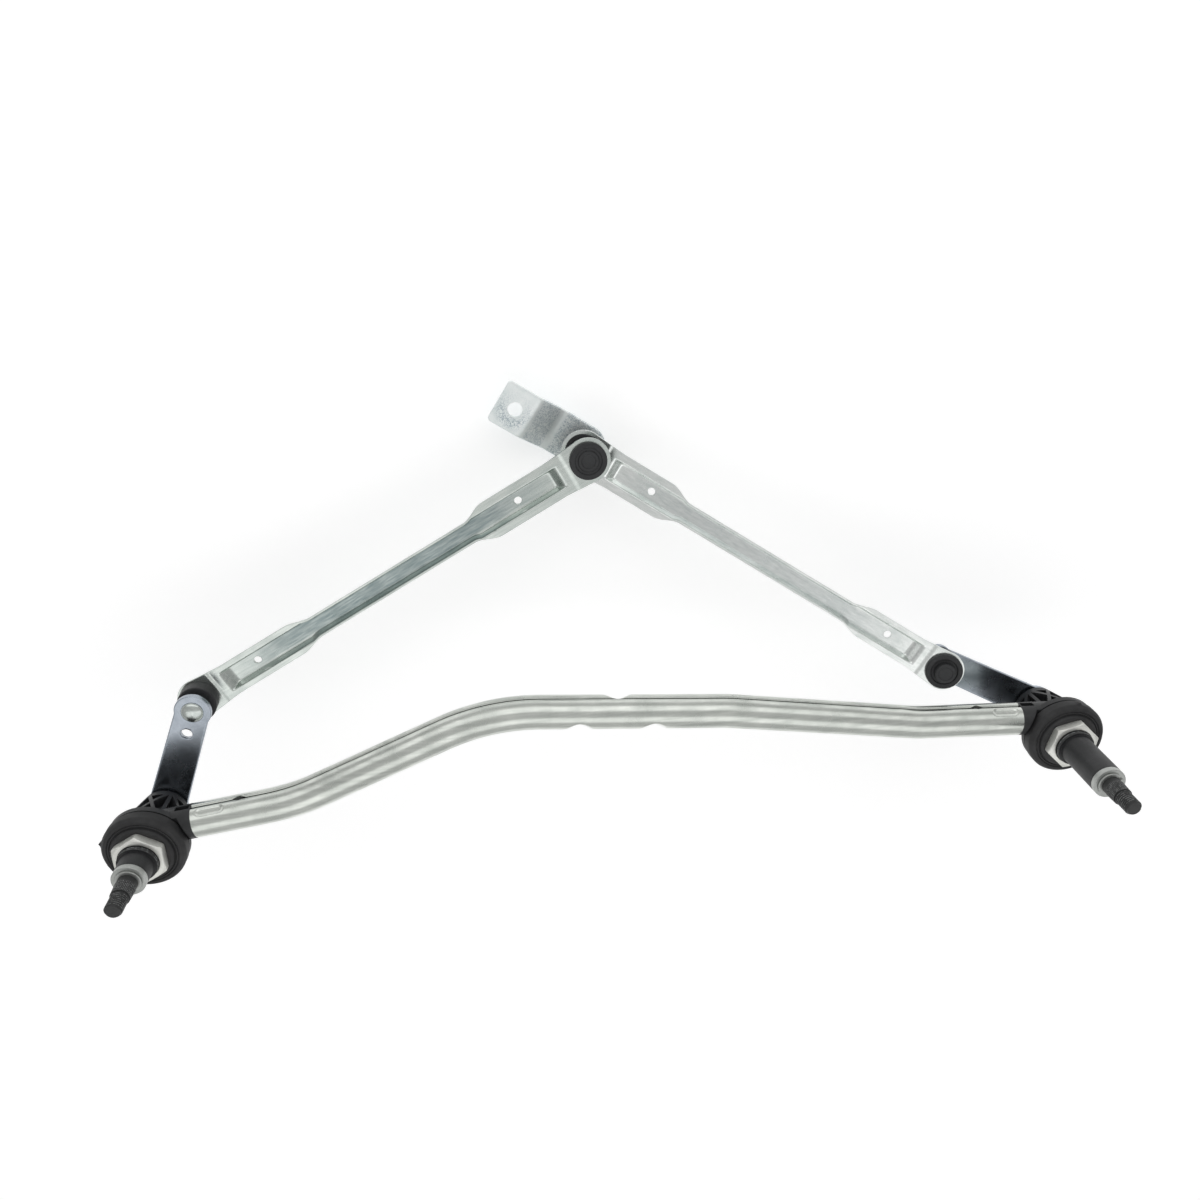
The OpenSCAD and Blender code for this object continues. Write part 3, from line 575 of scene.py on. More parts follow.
# Blue-white plating whose zinc crystals show as a grey sparkle in places, about 0.5 mm across; on the crank's
# slant the same grey is partly painted shade.
FROSTED_ZINC = Finish(
    "Frosted_Zinc_Plated_Strip_Steel", "zinc_plate", "#F8FBFA", "#E8EFEE", "#93A4AF", True, Pattern.MOTTLE,
    4.0, (0.46, 0.60), 0.7, 0.012, 0.5, 0.55,
)
# Glass-filled nylon: matt black with a fine moulded grain, and grey painted glints on the crests of the nose
# thread.
BLACK_NYLON = Finish(
    "Glass_Filled_Black_Nylon", "black_plastic", "#2B2C2E", "#191A1B", "#8C8F90", False, Pattern.MOTTLE, 1.4,
    (0.42, 0.60), 0.35, 0.03, 0.5,
)
# Moulded rubber: deep black, almost without gloss, with a powdery bloom.
BLACK_RUBBER = Finish(
    "Black_EPDM_Rubber", "black_rubber", "#2E2E2F", "#1B1B1C", "#4A4A4B", False, Pattern.MOTTLE, 5.0,
    (0.55, 0.75), 0.5, 0.03, 0.6,
)
# Oiled porous bronze: warm brown with dark pores.
BRONZE = Finish(
    "Sintered_Bronze", "sintered_bronze", "#9A7B4F", "#6B5434", "#B08F60", True, Pattern.PORES, 0.5,
    (0.40, 0.60), 0.3, 0.02, 0.2,
)
# Black-oxide steel: charcoal, with grey specks on the crests of knurl and thread, partly bare scuffed steel
# and partly painted glints.
BLACK_STEEL = Finish(
    "Black_Oxide_Steel", "black_shaft_steel", "#2E2F2F", "#171818", "#A2A4A4", False, Pattern.MOTTLE, 1.2,
    (0.34, 0.52), 0.25, 0.015, 0.2, 0.6,
)


def dress(piece: Piece, finish: Finish, body: str, node: str | None) -> None:
    """Gives a piece its finish and its place in the frame.

    Args:
        piece: Finished mesh.
        finish: Its surface.
        body: CAD body that it rides on.
        node: CAD node that it stands for, if any.
    """
    piece.data.materials.clear()
    piece.data.materials.append(finish.material())
    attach(piece, body)
    if node:
        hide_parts(node)
    LOG.info("%s rides on %s in %s, %d faces", piece.name, body, finish.name, len(piece.data.polygons))


def turned(node: str, place: Placement, corners: Sequence[Triple], finish: Finish, body: str) -> None:
    """Builds and dresses a turned piece from the corners of its profile.

    Args:
        node: CAD node that it stands for.
        place: Its axes, with Z as the turning axis.
        corners: (r, z, radius) of its closed profile.
        finish: Its surface.
        body: CAD body that it rides on.
    """
    dress(grid_mesh(node + "_turned", place, revolve(rounded_loop(corners), 96)), finish, body, node)


# Sub-assemblies


@dataclass(frozen=True)
class FrameTube:
    """The bent frame tube with its rolled seam, end crimps and the dents of the motor bracket seat."""

    diameter: float = 22.0
    wall: float = 1.5
    drop: float = 18.0
    bend_radius: float = 130.0
    left_end: tuple[float, float] = (30.0, 9.0)
    corner_1: tuple[float, float] = (93.0, 15.0)
    corner_2: tuple[float, float] = (220.0, 62.5)
    corner_3: tuple[float, float] = (372.0, 43.5)
    corner_4: tuple[float, float] = (-99.5, 17.5)
    right_end: tuple[float, float] = (-30.0, 11.0)
    seam_width: float = 1.1
    seam_angle: float = 6.0
    seam_roll: float = 1.2
    seam_reach: float = 1.3
    notch: float = 4.4
    notch_in: float = 30.0
    seat_along: float = 81.0
    dent_spacing: float = 24.0
    dent_depth: float = 3.0
    dent_angle: float = -31.0
    dent_length: float = 28.0
    dent_slack: float = 1.5
    dent_blend: float = 0.35
    crimp_depth: float = 0.9
    crimp_length: float = 17.0
    crimp_width: float = 5.2
    crimp_in: float = 12.0
    crimp_angle: float = 33.0
    crimp_soft: float = 1.7
    rows: int = 520
    columns: int = 120
    bore_columns: int = 40
    samples: int = 40001
    dense_reach: float = 40.0
    dense_share: float = 2.4
    lip_crowding: float = 0.3

    def route(self) -> tuple[Array, Array, Array, float, float]:
        """Follows the centre line: straight legs joined by arcs of the bend radius.

        Places along the tube lie closer together near the ends and the bracket seat.

        Returns:
            Distances along the tube, plan points, headings in radians, the length of the tube and
            the distance at which the bracket seat's middle lies.
        """
        right = joint_place("right_shaft_turn")
        span = np.array((math.hypot(right[0], right[2]), 0.0))
        knots = np.array((
            self.left_end, self.corner_1, self.corner_2, self.corner_3,
            span + self.corner_4, span + self.right_end,
        ))
        legs = np.diff(knots, axis=0)
        aim = np.arctan2(legs[:, 1], legs[:, 0])
        turn = np.diff(aim)
        trim = np.concatenate(((0.0,), self.bend_radius * np.tan(np.abs(turn) / 2.0), (0.0,)))
        stretch = np.zeros(2 * len(legs) - 1)
        stretch[0::2] = np.linalg.norm(legs, axis=1) - trim[:-1] - trim[1:]
        stretch[1::2] = self.bend_radius * np.abs(turn)
        bend = np.zeros_like(stretch)
        bend[1::2] = turn
        start = np.concatenate(((0.0,), np.cumsum(stretch)))
        start_aim = np.concatenate(((aim[0],), aim[0] + np.cumsum(bend)))
        seat = start[4] + self.seat_along - trim[2]
        fine = np.linspace(0.0, start[-1], self.samples)
        from_marks = np.minimum(np.minimum(fine, start[-1] - fine), np.abs(fine - seat))
        count = np.cumsum(np.where(from_marks < self.dense_reach, self.dense_share, 1.0))
        s = np.interp(np.linspace(count[0], count[-1], self.rows), count, fine)
        fine_aim = np.interp(fine, start, start_aim)
        middle = 0.5 * (fine_aim[1:] + fine_aim[:-1])
        steps = np.stack((np.cos(middle), np.sin(middle))) * (fine[1] - fine[0])
        x, y = knots[0][:, None] + np.concatenate((np.zeros((2, 1)), np.cumsum(steps, axis=1)), axis=1)
        plan = np.stack((np.interp(s, fine, x), np.interp(s, fine, y)), axis=-1)
        return s, plan, np.interp(s, start, start_aim), float(start[-1]), float(seat)

    def lips(self, half: Array, columns: int) -> Array:
        """Spreads angles from lip to lip of the seam, closer together at the lips.

        Args:
            half: Half angle of the seam at each place along the tube.
            columns: Number of angles.

        Returns:
            A (places, columns) array of radians.
        """
        t = np.linspace(0.0, 1.0, columns)
        t = t - self.lip_crowding * np.sin(TURN * t) / TURN
        return half[:, None] + (TURN - 2.0 * half[:, None]) * t

    def press(self, off: Array) -> Array:
        """Finds how far from the tube's middle a dent's press stands.

        Args:
            off: Distance along the tube from the middle of the dent.

        Returns:
            The press's distance at each place, as a column.
        """
        u = np.clip(off / (self.dent_length / 2.0), -1.0, 1.0)
        fall = (self.dent_slack + self.dent_depth) * (1.0 + np.cos(math.pi * u)) / 2.0
        return (self.diameter / 2.0 + self.dent_slack - fall)[:, None]

    def surface(self) -> Array:
        """Lofts the open ring of the tube along its route.

        Round the outside the radius is r(a) = R - roll exp(-(arc / reach)^2), which rolls the lips of
        the seam inward; the bore runs back one wall further in. Each dent lowers a soft ceiling
        across the tube, at the dents' angle, by depth (1 + cos(pi u)) / 2, so the wall is pressed
        flat there and not scaled: one dent from one side and two from the other. The crimp is a long
        groove: its depth eases in where the distance from its middle line falls below half its width.

        Returns:
            A grid of rows: the outside from lip to lip, then the bore back.
        """
        s, plan, aim, total, seat = self.route()
        radius = self.diameter / 2.0
        from_end = np.minimum(s, total - s)
        notch = np.clip(1.0 - np.abs(from_end - self.notch_in) / self.notch, 0.0, 1.0)
        half = (self.seam_width / 2.0 + notch * (self.notch - self.seam_width) / 2.0) / radius
        outer, bore = self.lips(half, self.columns), self.lips(half, self.bore_columns)
        around = np.concatenate((outer, bore[:, ::-1]), axis=1)
        depth = np.repeat((0.0, self.wall), (self.columns, self.bore_columns))
        arc = radius * np.minimum(around, TURN - around)
        roll = self.seam_roll * np.exp(-((arc / self.seam_reach) ** 2))
        along = np.abs(from_end - self.crimp_in) - (self.crimp_length - self.crimp_width) / 2.0
        crimp_arc = radius * (around - math.radians(self.crimp_angle - self.seam_angle))
        off = np.hypot(np.maximum(along, 0.0)[:, None], crimp_arc)
        groove = self.crimp_depth * smooth_step((self.crimp_width / 2.0 + 0.5 - off) / self.crimp_soft)
        ring = radius - depth - roll - groove
        side, up, _ = np.moveaxis(polar(ring, around + math.radians(self.seam_angle), 0.0), -1, 0)
        ceiling = self.press(s - seat) - depth
        floor = depth - self.press(np.abs(s - seat) - self.dent_spacing)
        across, rise = math.cos(math.radians(self.dent_angle)), math.sin(math.radians(self.dent_angle))
        far = side * across + up * rise
        pressed = -soft_min(-soft_min(far, ceiling, self.dent_blend), -floor, self.dent_blend)
        side, up = side + (pressed - far) * across, up + (pressed - far) * rise
        x = plan[:, :1] - side * np.sin(aim)[:, None]
        y = plan[:, 1:] + side * np.cos(aim)[:, None]
        return np.stack((x, y, up), axis=-1)

    def build(self) -> None:
        """Builds and dresses the tube."""
        right = joint_place("right_shaft_turn")
        place = Placement((0.0, 0.0, -self.drop), slope=-math.degrees(math.atan2(-right[2], right[0])))
        piece = grid_mesh("frame_tube_rolled", place, self.surface(), False, (0, -1), 50.0)
        dress(piece, GALVANISED, "frame", "frame_tube")


class Side(Enum):
    """The two wiper pivots."""

    LEFT = "left"
    RIGHT = "right"


@dataclass(frozen=True)
class WiperPivot:
    """One wiper pivot: grommet, nut, washers, clip, shaft, lever and ball pin."""

    side: Side
    lever_length: float
    lever_angle: float
    pin_flipped: bool
    nub_angle: float
    nut_turn: float
    clip_aim: float
    grommet_radius: float = 25.5
    grommet_depth: float = 12.0
    nub_height: float = 1.8
    nub_spread: float = 0.05
    nub_middle: float = -6.0
    nub_half: float = 3.0
    nub_skin: float = 0.3
    thread_radius: float = 12.0
    thread_top: float = 9.0
    thread_pitch: float = 1.5
    thread_gap: float = 0.05
    thread_fade: float = 0.8
    nose_crest: float = 0.15
    nose_skin: float = 0.4
    nut_flats: float = 30.0
    nut_height: float = 6.0
    nut_chamfer: float = 1.0
    nut_chamfer_slope: float = 2.0
    nut_foot: float = 0.6
    nut_foot_slope: float = 1.2
    nut_blend: float = 0.3
    nut_mouth: float = 0.6
    nut_edge: float = 0.35
    nut_edge_height: float = 0.12
    shaft_radius: float = 6.0
    groove_radius: float = 5.2
    neck_length: float = 3.7
    cone_length: float = 9.0
    cone_root_radius: float = 6.2
    cone_end_radius: float = 5.8
    tip_radius: float = 5.2
    tip_length: float = 12.0
    tip_chamfer: float = 1.0
    tip_edge: float = 0.3
    tip_thread: float = 0.55
    tip_run_in: float = 1.5
    knurl_teeth: int = 40
    knurl_depth: float = 0.35
    knurl_run_outs: float = 8.0
    rivet_radius: float = 7.5
    rivet_height: float = 2.0
    rivet_dome: float = 0.7
    rivet_end_radius: float = 5.0
    rivet_round: float = 2.6
    washer_radius: float = 10.2
    washer_height: float = 3.6
    washer_gap: float = 0.1
    clip_height: float = 1.3
    clip_radius: float = 8.0
    clip_gap: float = 4.0
    face_gap: float = 0.1
    lever_top: float = -49.6
    lever_thickness: float = 3.5
    lever_edge: float = 0.7
    lever_washer_radius: float = 11.0
    lever_washer_height: float = 1.5
    root_radius: float = 13.5
    end_radius: float = 11.5
    root_width: float = 24.0
    end_width: float = 21.0
    gauge_hole: float = 7.5
    gauge_in: float = 17.0
    pin_hole: float = 8.04
    drill_reach: float = 80.0
    ball_stand: float = 9.5

    @property
    def shaft_body(self) -> str:
        """Name of the body that turns with the wiper shaft."""
        return self.side.value + "_wiper_shaft"

    def node(self, name: str) -> str:
        """Puts this pivot's side before the name of a CAD node."""
        return f"{self.side.value}_{name}"

    def seat(self) -> Placement:
        """Axes on the panel seat, with Z along the shaft."""
        return Placement(tuple(joint_place(self.node("shaft_turn"))))

    def nose_top(self) -> float:
        """Height of the nose above the seat, which is where the thrust washer lies."""
        low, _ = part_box(self.node("thrust_washer"))
        return low[2] / MM - self.seat().origin[2]

    def clip_low(self) -> float:
        """Height of the clip's lower face above the seat."""
        return self.nose_top() + self.washer_height + self.face_gap

    def build_grommet(self) -> None:
        """Builds the rubber grommet: a turned profile with stepped rings and a moulding nub on its rim.

        The outer wall is pushed out by height exp(-((a - nub) / spread)^2) (1 - v^2) where v runs from
        -1 to 1 over the height of the nub.
        """
        r, depth, bore, columns = self.grommet_radius, self.grommet_depth, self.thread_radius, 144
        # Corners (r, z, radius): the outer wall, two fine rings and the collar that meets the panel.
        corners = (
            (bore + self.thread_gap, -depth, 0.2), (r - 1.6, -depth, 0.7), (r, -depth + 1.6, 0.9),
            (r, -4.6, 2.0), (r - 1.8, -2.0, 1.6), (21.7, -2.0, 0.3), (21.4, -2.7, 0.2), (21.0, -2.7, 0.2),
            (20.8, -2.0, 0.2), (20.1, -2.0, 0.2), (19.8, -2.7, 0.2), (19.3, -2.7, 0.2), (19.0, -0.9, 0.6),
            (17.8, 0.0, 0.6), (bore + self.thread_gap, 0.0, 0.2),
        )
        points = revolve(rounded_loop(corners), columns)
        angle = np.mod(full_turn(columns) - math.radians(self.nub_angle) + math.pi, TURN) - math.pi
        radius = np.hypot(points[..., 0], points[..., 1])
        v = np.clip((points[..., 2] - self.nub_middle) / self.nub_half, -1.0, 1.0)
        nub = self.nub_height * np.exp(-((angle / self.nub_spread) ** 2)) * (1.0 - v * v)
        push = nub * smooth_step((radius - r) / self.nub_skin + 1.0)
        points[..., :2] *= (1.0 + push / radius)[..., None]
        node = self.node("grommet")
        dress(grid_mesh(node + "_moulded", self.seat(), points), BLACK_RUBBER, "frame", node)

    def build_nut(self) -> None:
        """Builds the hexagon nut as a radius over angle and height.

        r(a, z) is the softer minimum of the flats' distance, (af / 2) / cos(a mod 60 - 30), and two
        cones that chamfer the corners above and, less steeply, below.
        """
        columns, rows, tall = 240, 22, self.nut_height
        angle = full_turn(columns)
        from_flat = np.mod(angle - math.radians(self.nut_turn), TURN / 6.0) - TURN / 12.0
        flats = self.nut_flats / 2.0 / np.cos(from_flat)
        corner = self.nut_flats / 2.0 / math.cos(TURN / 12.0)
        z = np.linspace(0.0, tall, rows)[:, None]
        above = self.nut_chamfer_slope * np.maximum(z - (tall - self.nut_chamfer), 0.0)
        below = self.nut_foot_slope * np.maximum(self.nut_foot - z, 0.0)
        wall = soft_min(flats + 0.0 * z, corner - (above + below) + 0.0 * flats, self.nut_blend)
        inner = np.full((1, columns), self.thread_radius + self.thread_gap)
        mouth = inner + self.nut_mouth
        low_face, top_face = wall[:1] - self.nut_edge, wall[-1:] - self.nut_edge
        radius = np.concatenate((mouth, low_face, wall, top_face, mouth, inner, inner))
        height = np.concatenate((
            np.zeros((2, 1)), self.nut_edge_height + z * (tall - 2.0 * self.nut_edge_height) / tall,
            np.full((2, 1), tall), ((tall - self.nut_mouth,), (self.nut_mouth,)),
        ))
        node = self.node("nut")
        piece = grid_mesh(node + "_hexagon", self.seat(), polar(radius, angle, height), sharp=28.0)
        dress(piece, MATT_ZINC, "frame", node)

    def build_nose_thread(self) -> None:
        """Builds the moulded thread that shows above the nut.

        A thin skin whose crest is r = R + crest zigzag(z / pitch - a / turn), closed on itself inside.
        """
        columns, rows = 96, 110
        angle = full_turn(columns)
        low, top = self.nut_height + self.nose_crest, self.thread_top + self.thread_gap
        z = np.linspace(low, top, rows)[:, None]
        wave = triangle_wave(z / self.thread_pitch - angle / TURN)
        fade = smooth_step((self.thread_top - z) / self.thread_fade)
        outer = self.thread_radius + FIT + self.nose_crest * wave * fade
        inner = np.full((2, columns), self.thread_radius - self.nose_skin)
        points = polar(np.concatenate((outer, inner)), angle, np.concatenate((z, z[-1:], z[:1])))
        # The thread's crests get painted glints in the marks colour.
        wear_and_painted_light = np.concatenate((smooth_step(3.0 * wave - 1.5) * fade, 0.0 * inner))
        piece = grid_mesh(self.node("nose_thread"), self.seat(), points, sharp=60.0, wear_and_painted_light=wear_and_painted_light)
        dress(piece, BLACK_NYLON, "frame", None)

    def build_washers(self) -> None:
        """Builds the thrust washer on the nose and the washer above the lever."""
        inner, low, height = self.shaft_radius + self.washer_gap, self.nose_top(), self.washer_height
        corners = flat_ring(inner, self.washer_radius, low, height, (0.1, 0.3, 0.5, 0.15))
        turned(self.node("thrust_washer"), self.seat(), corners, GREY_STEEL, "frame")
        inner, low, height = self.shaft_radius + FIT, self.lever_top, self.lever_washer_height
        corners = flat_ring(inner, self.lever_washer_radius, low, height, (0.1, 0.25, 0.25, 0.1))
        turned(self.node("lever_washer"), self.seat(), corners, ZINC_SHEET, self.shaft_body)

    def build_clip(self) -> None:
        """Builds the open spring clip: a rounded rectangle swept round the shaft with a gap."""
        inner, outer, radii = self.groove_radius + FIT, self.clip_radius, (0.25, 0.4, 0.4, 0.25)
        loop = rounded_loop(flat_ring(inner, outer, self.clip_low(), self.clip_height, radii))
        half = math.asin(self.clip_gap / 2.0 / outer)
        angle = np.linspace(half, TURN - half, 80)[:, None] + math.radians(self.clip_aim)
        points = polar(loop[:, 0], angle, loop[:, 1])
        node = self.node("clip")
        piece = grid_mesh(node + "_wire", self.seat(), points, False, (0, -1))
        dress(piece, GREY_STEEL, self.shaft_body, node)

    def build_shaft(self) -> None:
        """Builds the wiper shaft as a radius over angle and height.

        The cone's radius falls in a straight line and is cut by zigzag teeth; the tip's radius drops
        by thread zigzag(z / pitch - a / turn), a right-hand thread that fades in from the cone.
        """
        columns = self.knurl_teeth * 5
        angle = full_turn(columns)
        plain = np.ones((1, columns))
        under, over = self.lever_top - self.lever_thickness, self.lever_top
        clip_low = self.clip_low()
        clip_top = clip_low + self.clip_height
        cone = clip_top + self.neck_length
        tip = cone + self.cone_length
        top = tip + self.tip_length
        foot = under - self.rivet_height
        rise = np.linspace(0.0, math.pi / 2.0, 8)
        head_z = foot + self.rivet_height * self.rivet_dome * (1.0 - np.cos(rise))
        head_r = self.rivet_radius - self.rivet_round * (1.0 - np.sin(rise))
        stem_z = np.array((under, under, over, over, clip_low, clip_low, clip_top, clip_top, cone))
        shaft = self.shaft_radius
        stem = (self.rivet_radius, self.rivet_end_radius, shaft, self.groove_radius, shaft)
        stem_r = np.repeat(stem, (1, 2, 2, 2, 2))
        cone_u = np.linspace(0.02, 1.0, 16)[:, None]
        cone_r = self.cone_root_radius + (self.cone_end_radius - self.cone_root_radius) * cone_u
        teeth = triangle_wave(angle * self.knurl_teeth / TURN)
        start, end = cone_u * self.knurl_run_outs, (1.0 - cone_u) * self.knurl_run_outs
        bite = np.minimum(start, 1.0) * np.minimum(end, 1.0)
        tip_z = tip + (self.tip_length - self.tip_chamfer) * np.linspace(0.0, 1.0, 72)[:, None]
        fade = smooth_step((tip_z - tip) / self.tip_run_in)
        wave = triangle_wave(tip_z / self.thread_pitch - angle / TURN)
        chamfer = np.linspace(0.0, math.pi / 2.0, 6)[1:, None]
        chamfer_r = self.tip_radius - self.tip_edge - (self.tip_chamfer - self.tip_edge) * np.sin(chamfer)
        radius = np.concatenate((
            0.0 * plain, np.concatenate((head_r, stem_r))[:, None] * plain,
            cone_r - self.knurl_depth * bite * teeth, self.tip_radius - self.tip_thread * fade * wave,
            chamfer_r * plain, 0.0 * plain,
        ))
        height = np.concatenate((
            np.concatenate(((foot,), head_z, stem_z))[:, None], cone + self.cone_length * cone_u, tip_z,
            top - self.tip_chamfer * np.cos(chamfer), ((top,),),
        ))
        # The crests of knurl and thread get grey specks: partly bare scuffed steel, partly painted glints.
        wear_and_painted_light = np.zeros_like(radius)
        first = 1 + len(head_z) + len(stem_z)
        last = first + len(cone_u)
        wear_and_painted_light[first:last] = smooth_step(1.0 - 2.0 * teeth) * bite
        wear_and_painted_light[last : last + len(tip_z)] = 0.8 * smooth_step(1.0 - 2.5 * wave) * fade
        node = self.node("shaft")
        points = polar(radius, angle, height)
        piece = grid_mesh(node + "_turned", self.seat(), points, False, sharp=30.0, wear_and_painted_light=wear_and_painted_light)
        dress(piece, BLACK_STEEL, self.shaft_body, node)

    def build_lever(self) -> None:
        """Builds the lever as a rounded strip whose half width is w(x).

        w(x) is the largest of the shaft end's circle, the tapered strip and the ball end's circle.
        """
        length = self.lever_length
        low, high = -self.root_radius, length + self.end_radius
        x = (high + low) / 2.0 - (high - low) / 2.0 * np.cos(np.linspace(0.0, math.pi, 140))
        root = np.sqrt(np.maximum(self.root_radius**2 - x**2, 0.0))
        end = np.sqrt(np.maximum(self.end_radius**2 - (x - length) ** 2, 0.0))
        taper = self.root_width / 2.0 + (self.end_width - self.root_width) / 2.0 * x / length
        strip = np.where((x > 0.0) & (x < length), taper, 0.0)
        half = np.maximum(np.maximum(root, end), strip)
        y, z = strip_section(half, self.lever_thickness, self.lever_edge, 24)
        points = np.stack((x[:, None] + 0.0 * y, y, z + self.lever_top), axis=-1)
        place = Placement(self.seat().origin, heading=self.lever_angle)
        node = self.node("lever")
        piece = grid_mesh(node + "_strip", place, points, False, sharp=50.0)
        holes = (
            (0.0, 0.0, 2.0 * (self.rivet_end_radius + FIT)), (length, 0.0, self.pin_hole),
            (length - self.gauge_in, 0.0, self.gauge_hole),
        )
        drill(piece, place, holes, self.drill_reach)
        dress(piece, ZINC_STRIP, self.shaft_body, node)

    def build_pin(self) -> None:
        """Builds the ball pin on the face of the lever that its ball stands on."""
        face = self.lever_top - self.lever_thickness if self.pin_flipped else self.lever_top
        offset = polar(self.lever_length, math.radians(self.lever_angle), face)
        place = Placement(tuple(self.seat().origin + offset), flipped=self.pin_flipped)
        pin = BallPin(self.lever_thickness, (self.ball_stand,))
        pin.build(self.node("ball_pin"), place, self.shaft_body)

    def build(self) -> None:
        """Builds and dresses the whole pivot."""
        self.build_grommet()
        self.build_nut()
        self.build_nose_thread()
        self.build_washers()
        self.build_clip()
        self.build_shaft()
        self.build_lever()
        self.build_pin()


@dataclass(frozen=True)
class BallPin:
    """A riveted ball pin with one or two balls, whose plate's ball side is at z = 0."""

    plate: float
    balls: tuple[float, ...]
    ball_radius: float = 6.5
    neck_radius: float = 3.25
    neck_fillet: float = 0.5
    head_radius: float = 7.0
    head_height: float = 3.0
    root_radius: float = 4.0
    shoulder_radius: float = 6.0
    shoulder_height: float = 1.4
    shoulder_edge: float = 0.3

    def profile(self) -> Array:
        """Runs from the domed rivet head up to the last ball.

        The dome is an arc of a sphere, z = h cos(u) over r = R sin(u), and each ball is the arc of
        its sphere between the necks.

        Returns:
            An (n, 2) line of r and z from axis to axis.
        """
        u = np.linspace(0.0, math.pi / 2.0, 14)
        r, z = self.head_radius * np.sin(u), -self.plate - self.head_height * np.cos(u)
        lines = [np.stack((r, z), axis=-1)]
        wide, high, edge = self.shoulder_radius, self.shoulder_height, self.shoulder_edge
        neck, fillet = self.neck_radius, self.neck_fillet
        lines.append(np.array((
            (self.root_radius, -self.plate), (self.root_radius, 0.0), (wide, 0.0), (wide, high - edge),
            (wide - edge, high), (neck + fillet, high), (neck, high + fillet),
        )))
        pole = math.asin(neck / self.ball_radius)
        for centre in self.balls:
            a = np.linspace(pole, math.pi if centre == self.balls[-1] else math.pi - pole, 28)
            r, z = self.ball_radius * np.sin(a), centre - self.ball_radius * np.cos(a)
            lines.append(np.stack((r, z), axis=-1))
        line = np.concatenate(lines)
        line[-1, 0] = 0.0
        return line

    def build(self, node: str, place: Placement, body: str) -> None:
        """Builds and dresses the pin.

        Args:
            node: CAD node that it stands for.
            place: Axes on the plate, with Z towards the balls.
            body: CAD body that it rides on.
        """
        piece = grid_mesh(node + "_turned", place, revolve(self.profile(), 64), False)
        dress(piece, ZINC_SHEET, body, node)


class Cap(Enum):
    """How a ball socket is closed above its plate."""

    RINGED = "flat cap with a ring groove"
    BOSS = "cap with a raised boss"
    OPEN = "open above and below"


@dataclass(frozen=True)
class BallSocket:
    """A plastic ball socket snapped into the ring of a link, with its mouth below the plate."""

    cap: Cap
    radius: float = 12.2
    neck_radius: float = 10.5
    rise: float = 5.0
    lip: float = 4.5
    plate: float = 1.6
    cap_height: float = 2.6
    groove_width: float = 2.0
    groove_depth: float = 0.8
    boss_radius: float = 6.75
    boss_height: float = 4.0
    dish_in: float = 2.0
    dish_depth: float = 0.5
    cavity_radius: float = 6.8
    open_radius: float = 10.0
    open_mouth: float = 9.0
    open_rim: float = 1.0

    def corners(self) -> tuple[Triple, ...]:
        """Lists the profile's corners, cavity included.

        Returns:
            (r, z, radius) of each corner.
        """
        low, top = self.rise + self.plate, self.rise + self.plate + self.cap_height
        skirt = (
            (self.radius, -self.lip, 0.8), (self.radius, self.rise, 0.3), (self.neck_radius, self.rise, 0.0),
            (self.neck_radius, low, 0.0), (self.radius, low, 0.2),
        )
        if self.cap is Cap.OPEN:
            rim, mouth, room = self.open_rim, self.open_mouth, self.open_radius
            return ((mouth, -self.lip, 0.3),) + skirt + (
                (self.radius, low + rim, 0.4), (mouth, low + rim, 0.3), (mouth, self.rise - rim, 0.2),
                (room, self.rise - rim, 0.2), (room, rim - self.lip, 0.2), (mouth, rim - self.lip, 0.2),
            )
        u = np.linspace(math.pi - math.acos(self.lip / self.cavity_radius), 0.0, 12)
        ball = self.cavity_radius * np.stack((np.sin(u), np.cos(u), 0.0 * u), axis=-1)
        cavity = tuple(map(tuple, ball.tolist()))
        groove, floor = self.boss_radius + self.groove_width, top - self.groove_depth
        height = top + self.boss_height if self.cap is Cap.BOSS else top
        inside, dish = self.boss_radius - self.dish_in, height - self.dish_depth
        crown = (
            (self.radius, top, 0.7), (groove + 0.15, top, 0.3), (groove - 0.1, floor, 0.2),
            (self.boss_radius + 0.2, floor, 0.2), (self.boss_radius - 0.1, height, 0.5),
            (inside, height, 0.2), (inside - 0.3, dish, 0.2), (0.0, dish, 0.0),
        )
        return cavity[:1] + skirt + crown + cavity[:0:-1]

    def build(self, node: str, place: Placement, body: str) -> None:
        """Builds and dresses the socket, whose axes are on the ball's centre with Z towards the cap."""
        turned(node, place, self.corners(), BLACK_NYLON, body)
        LOG.info("%s: %s", node, self.cap.value)


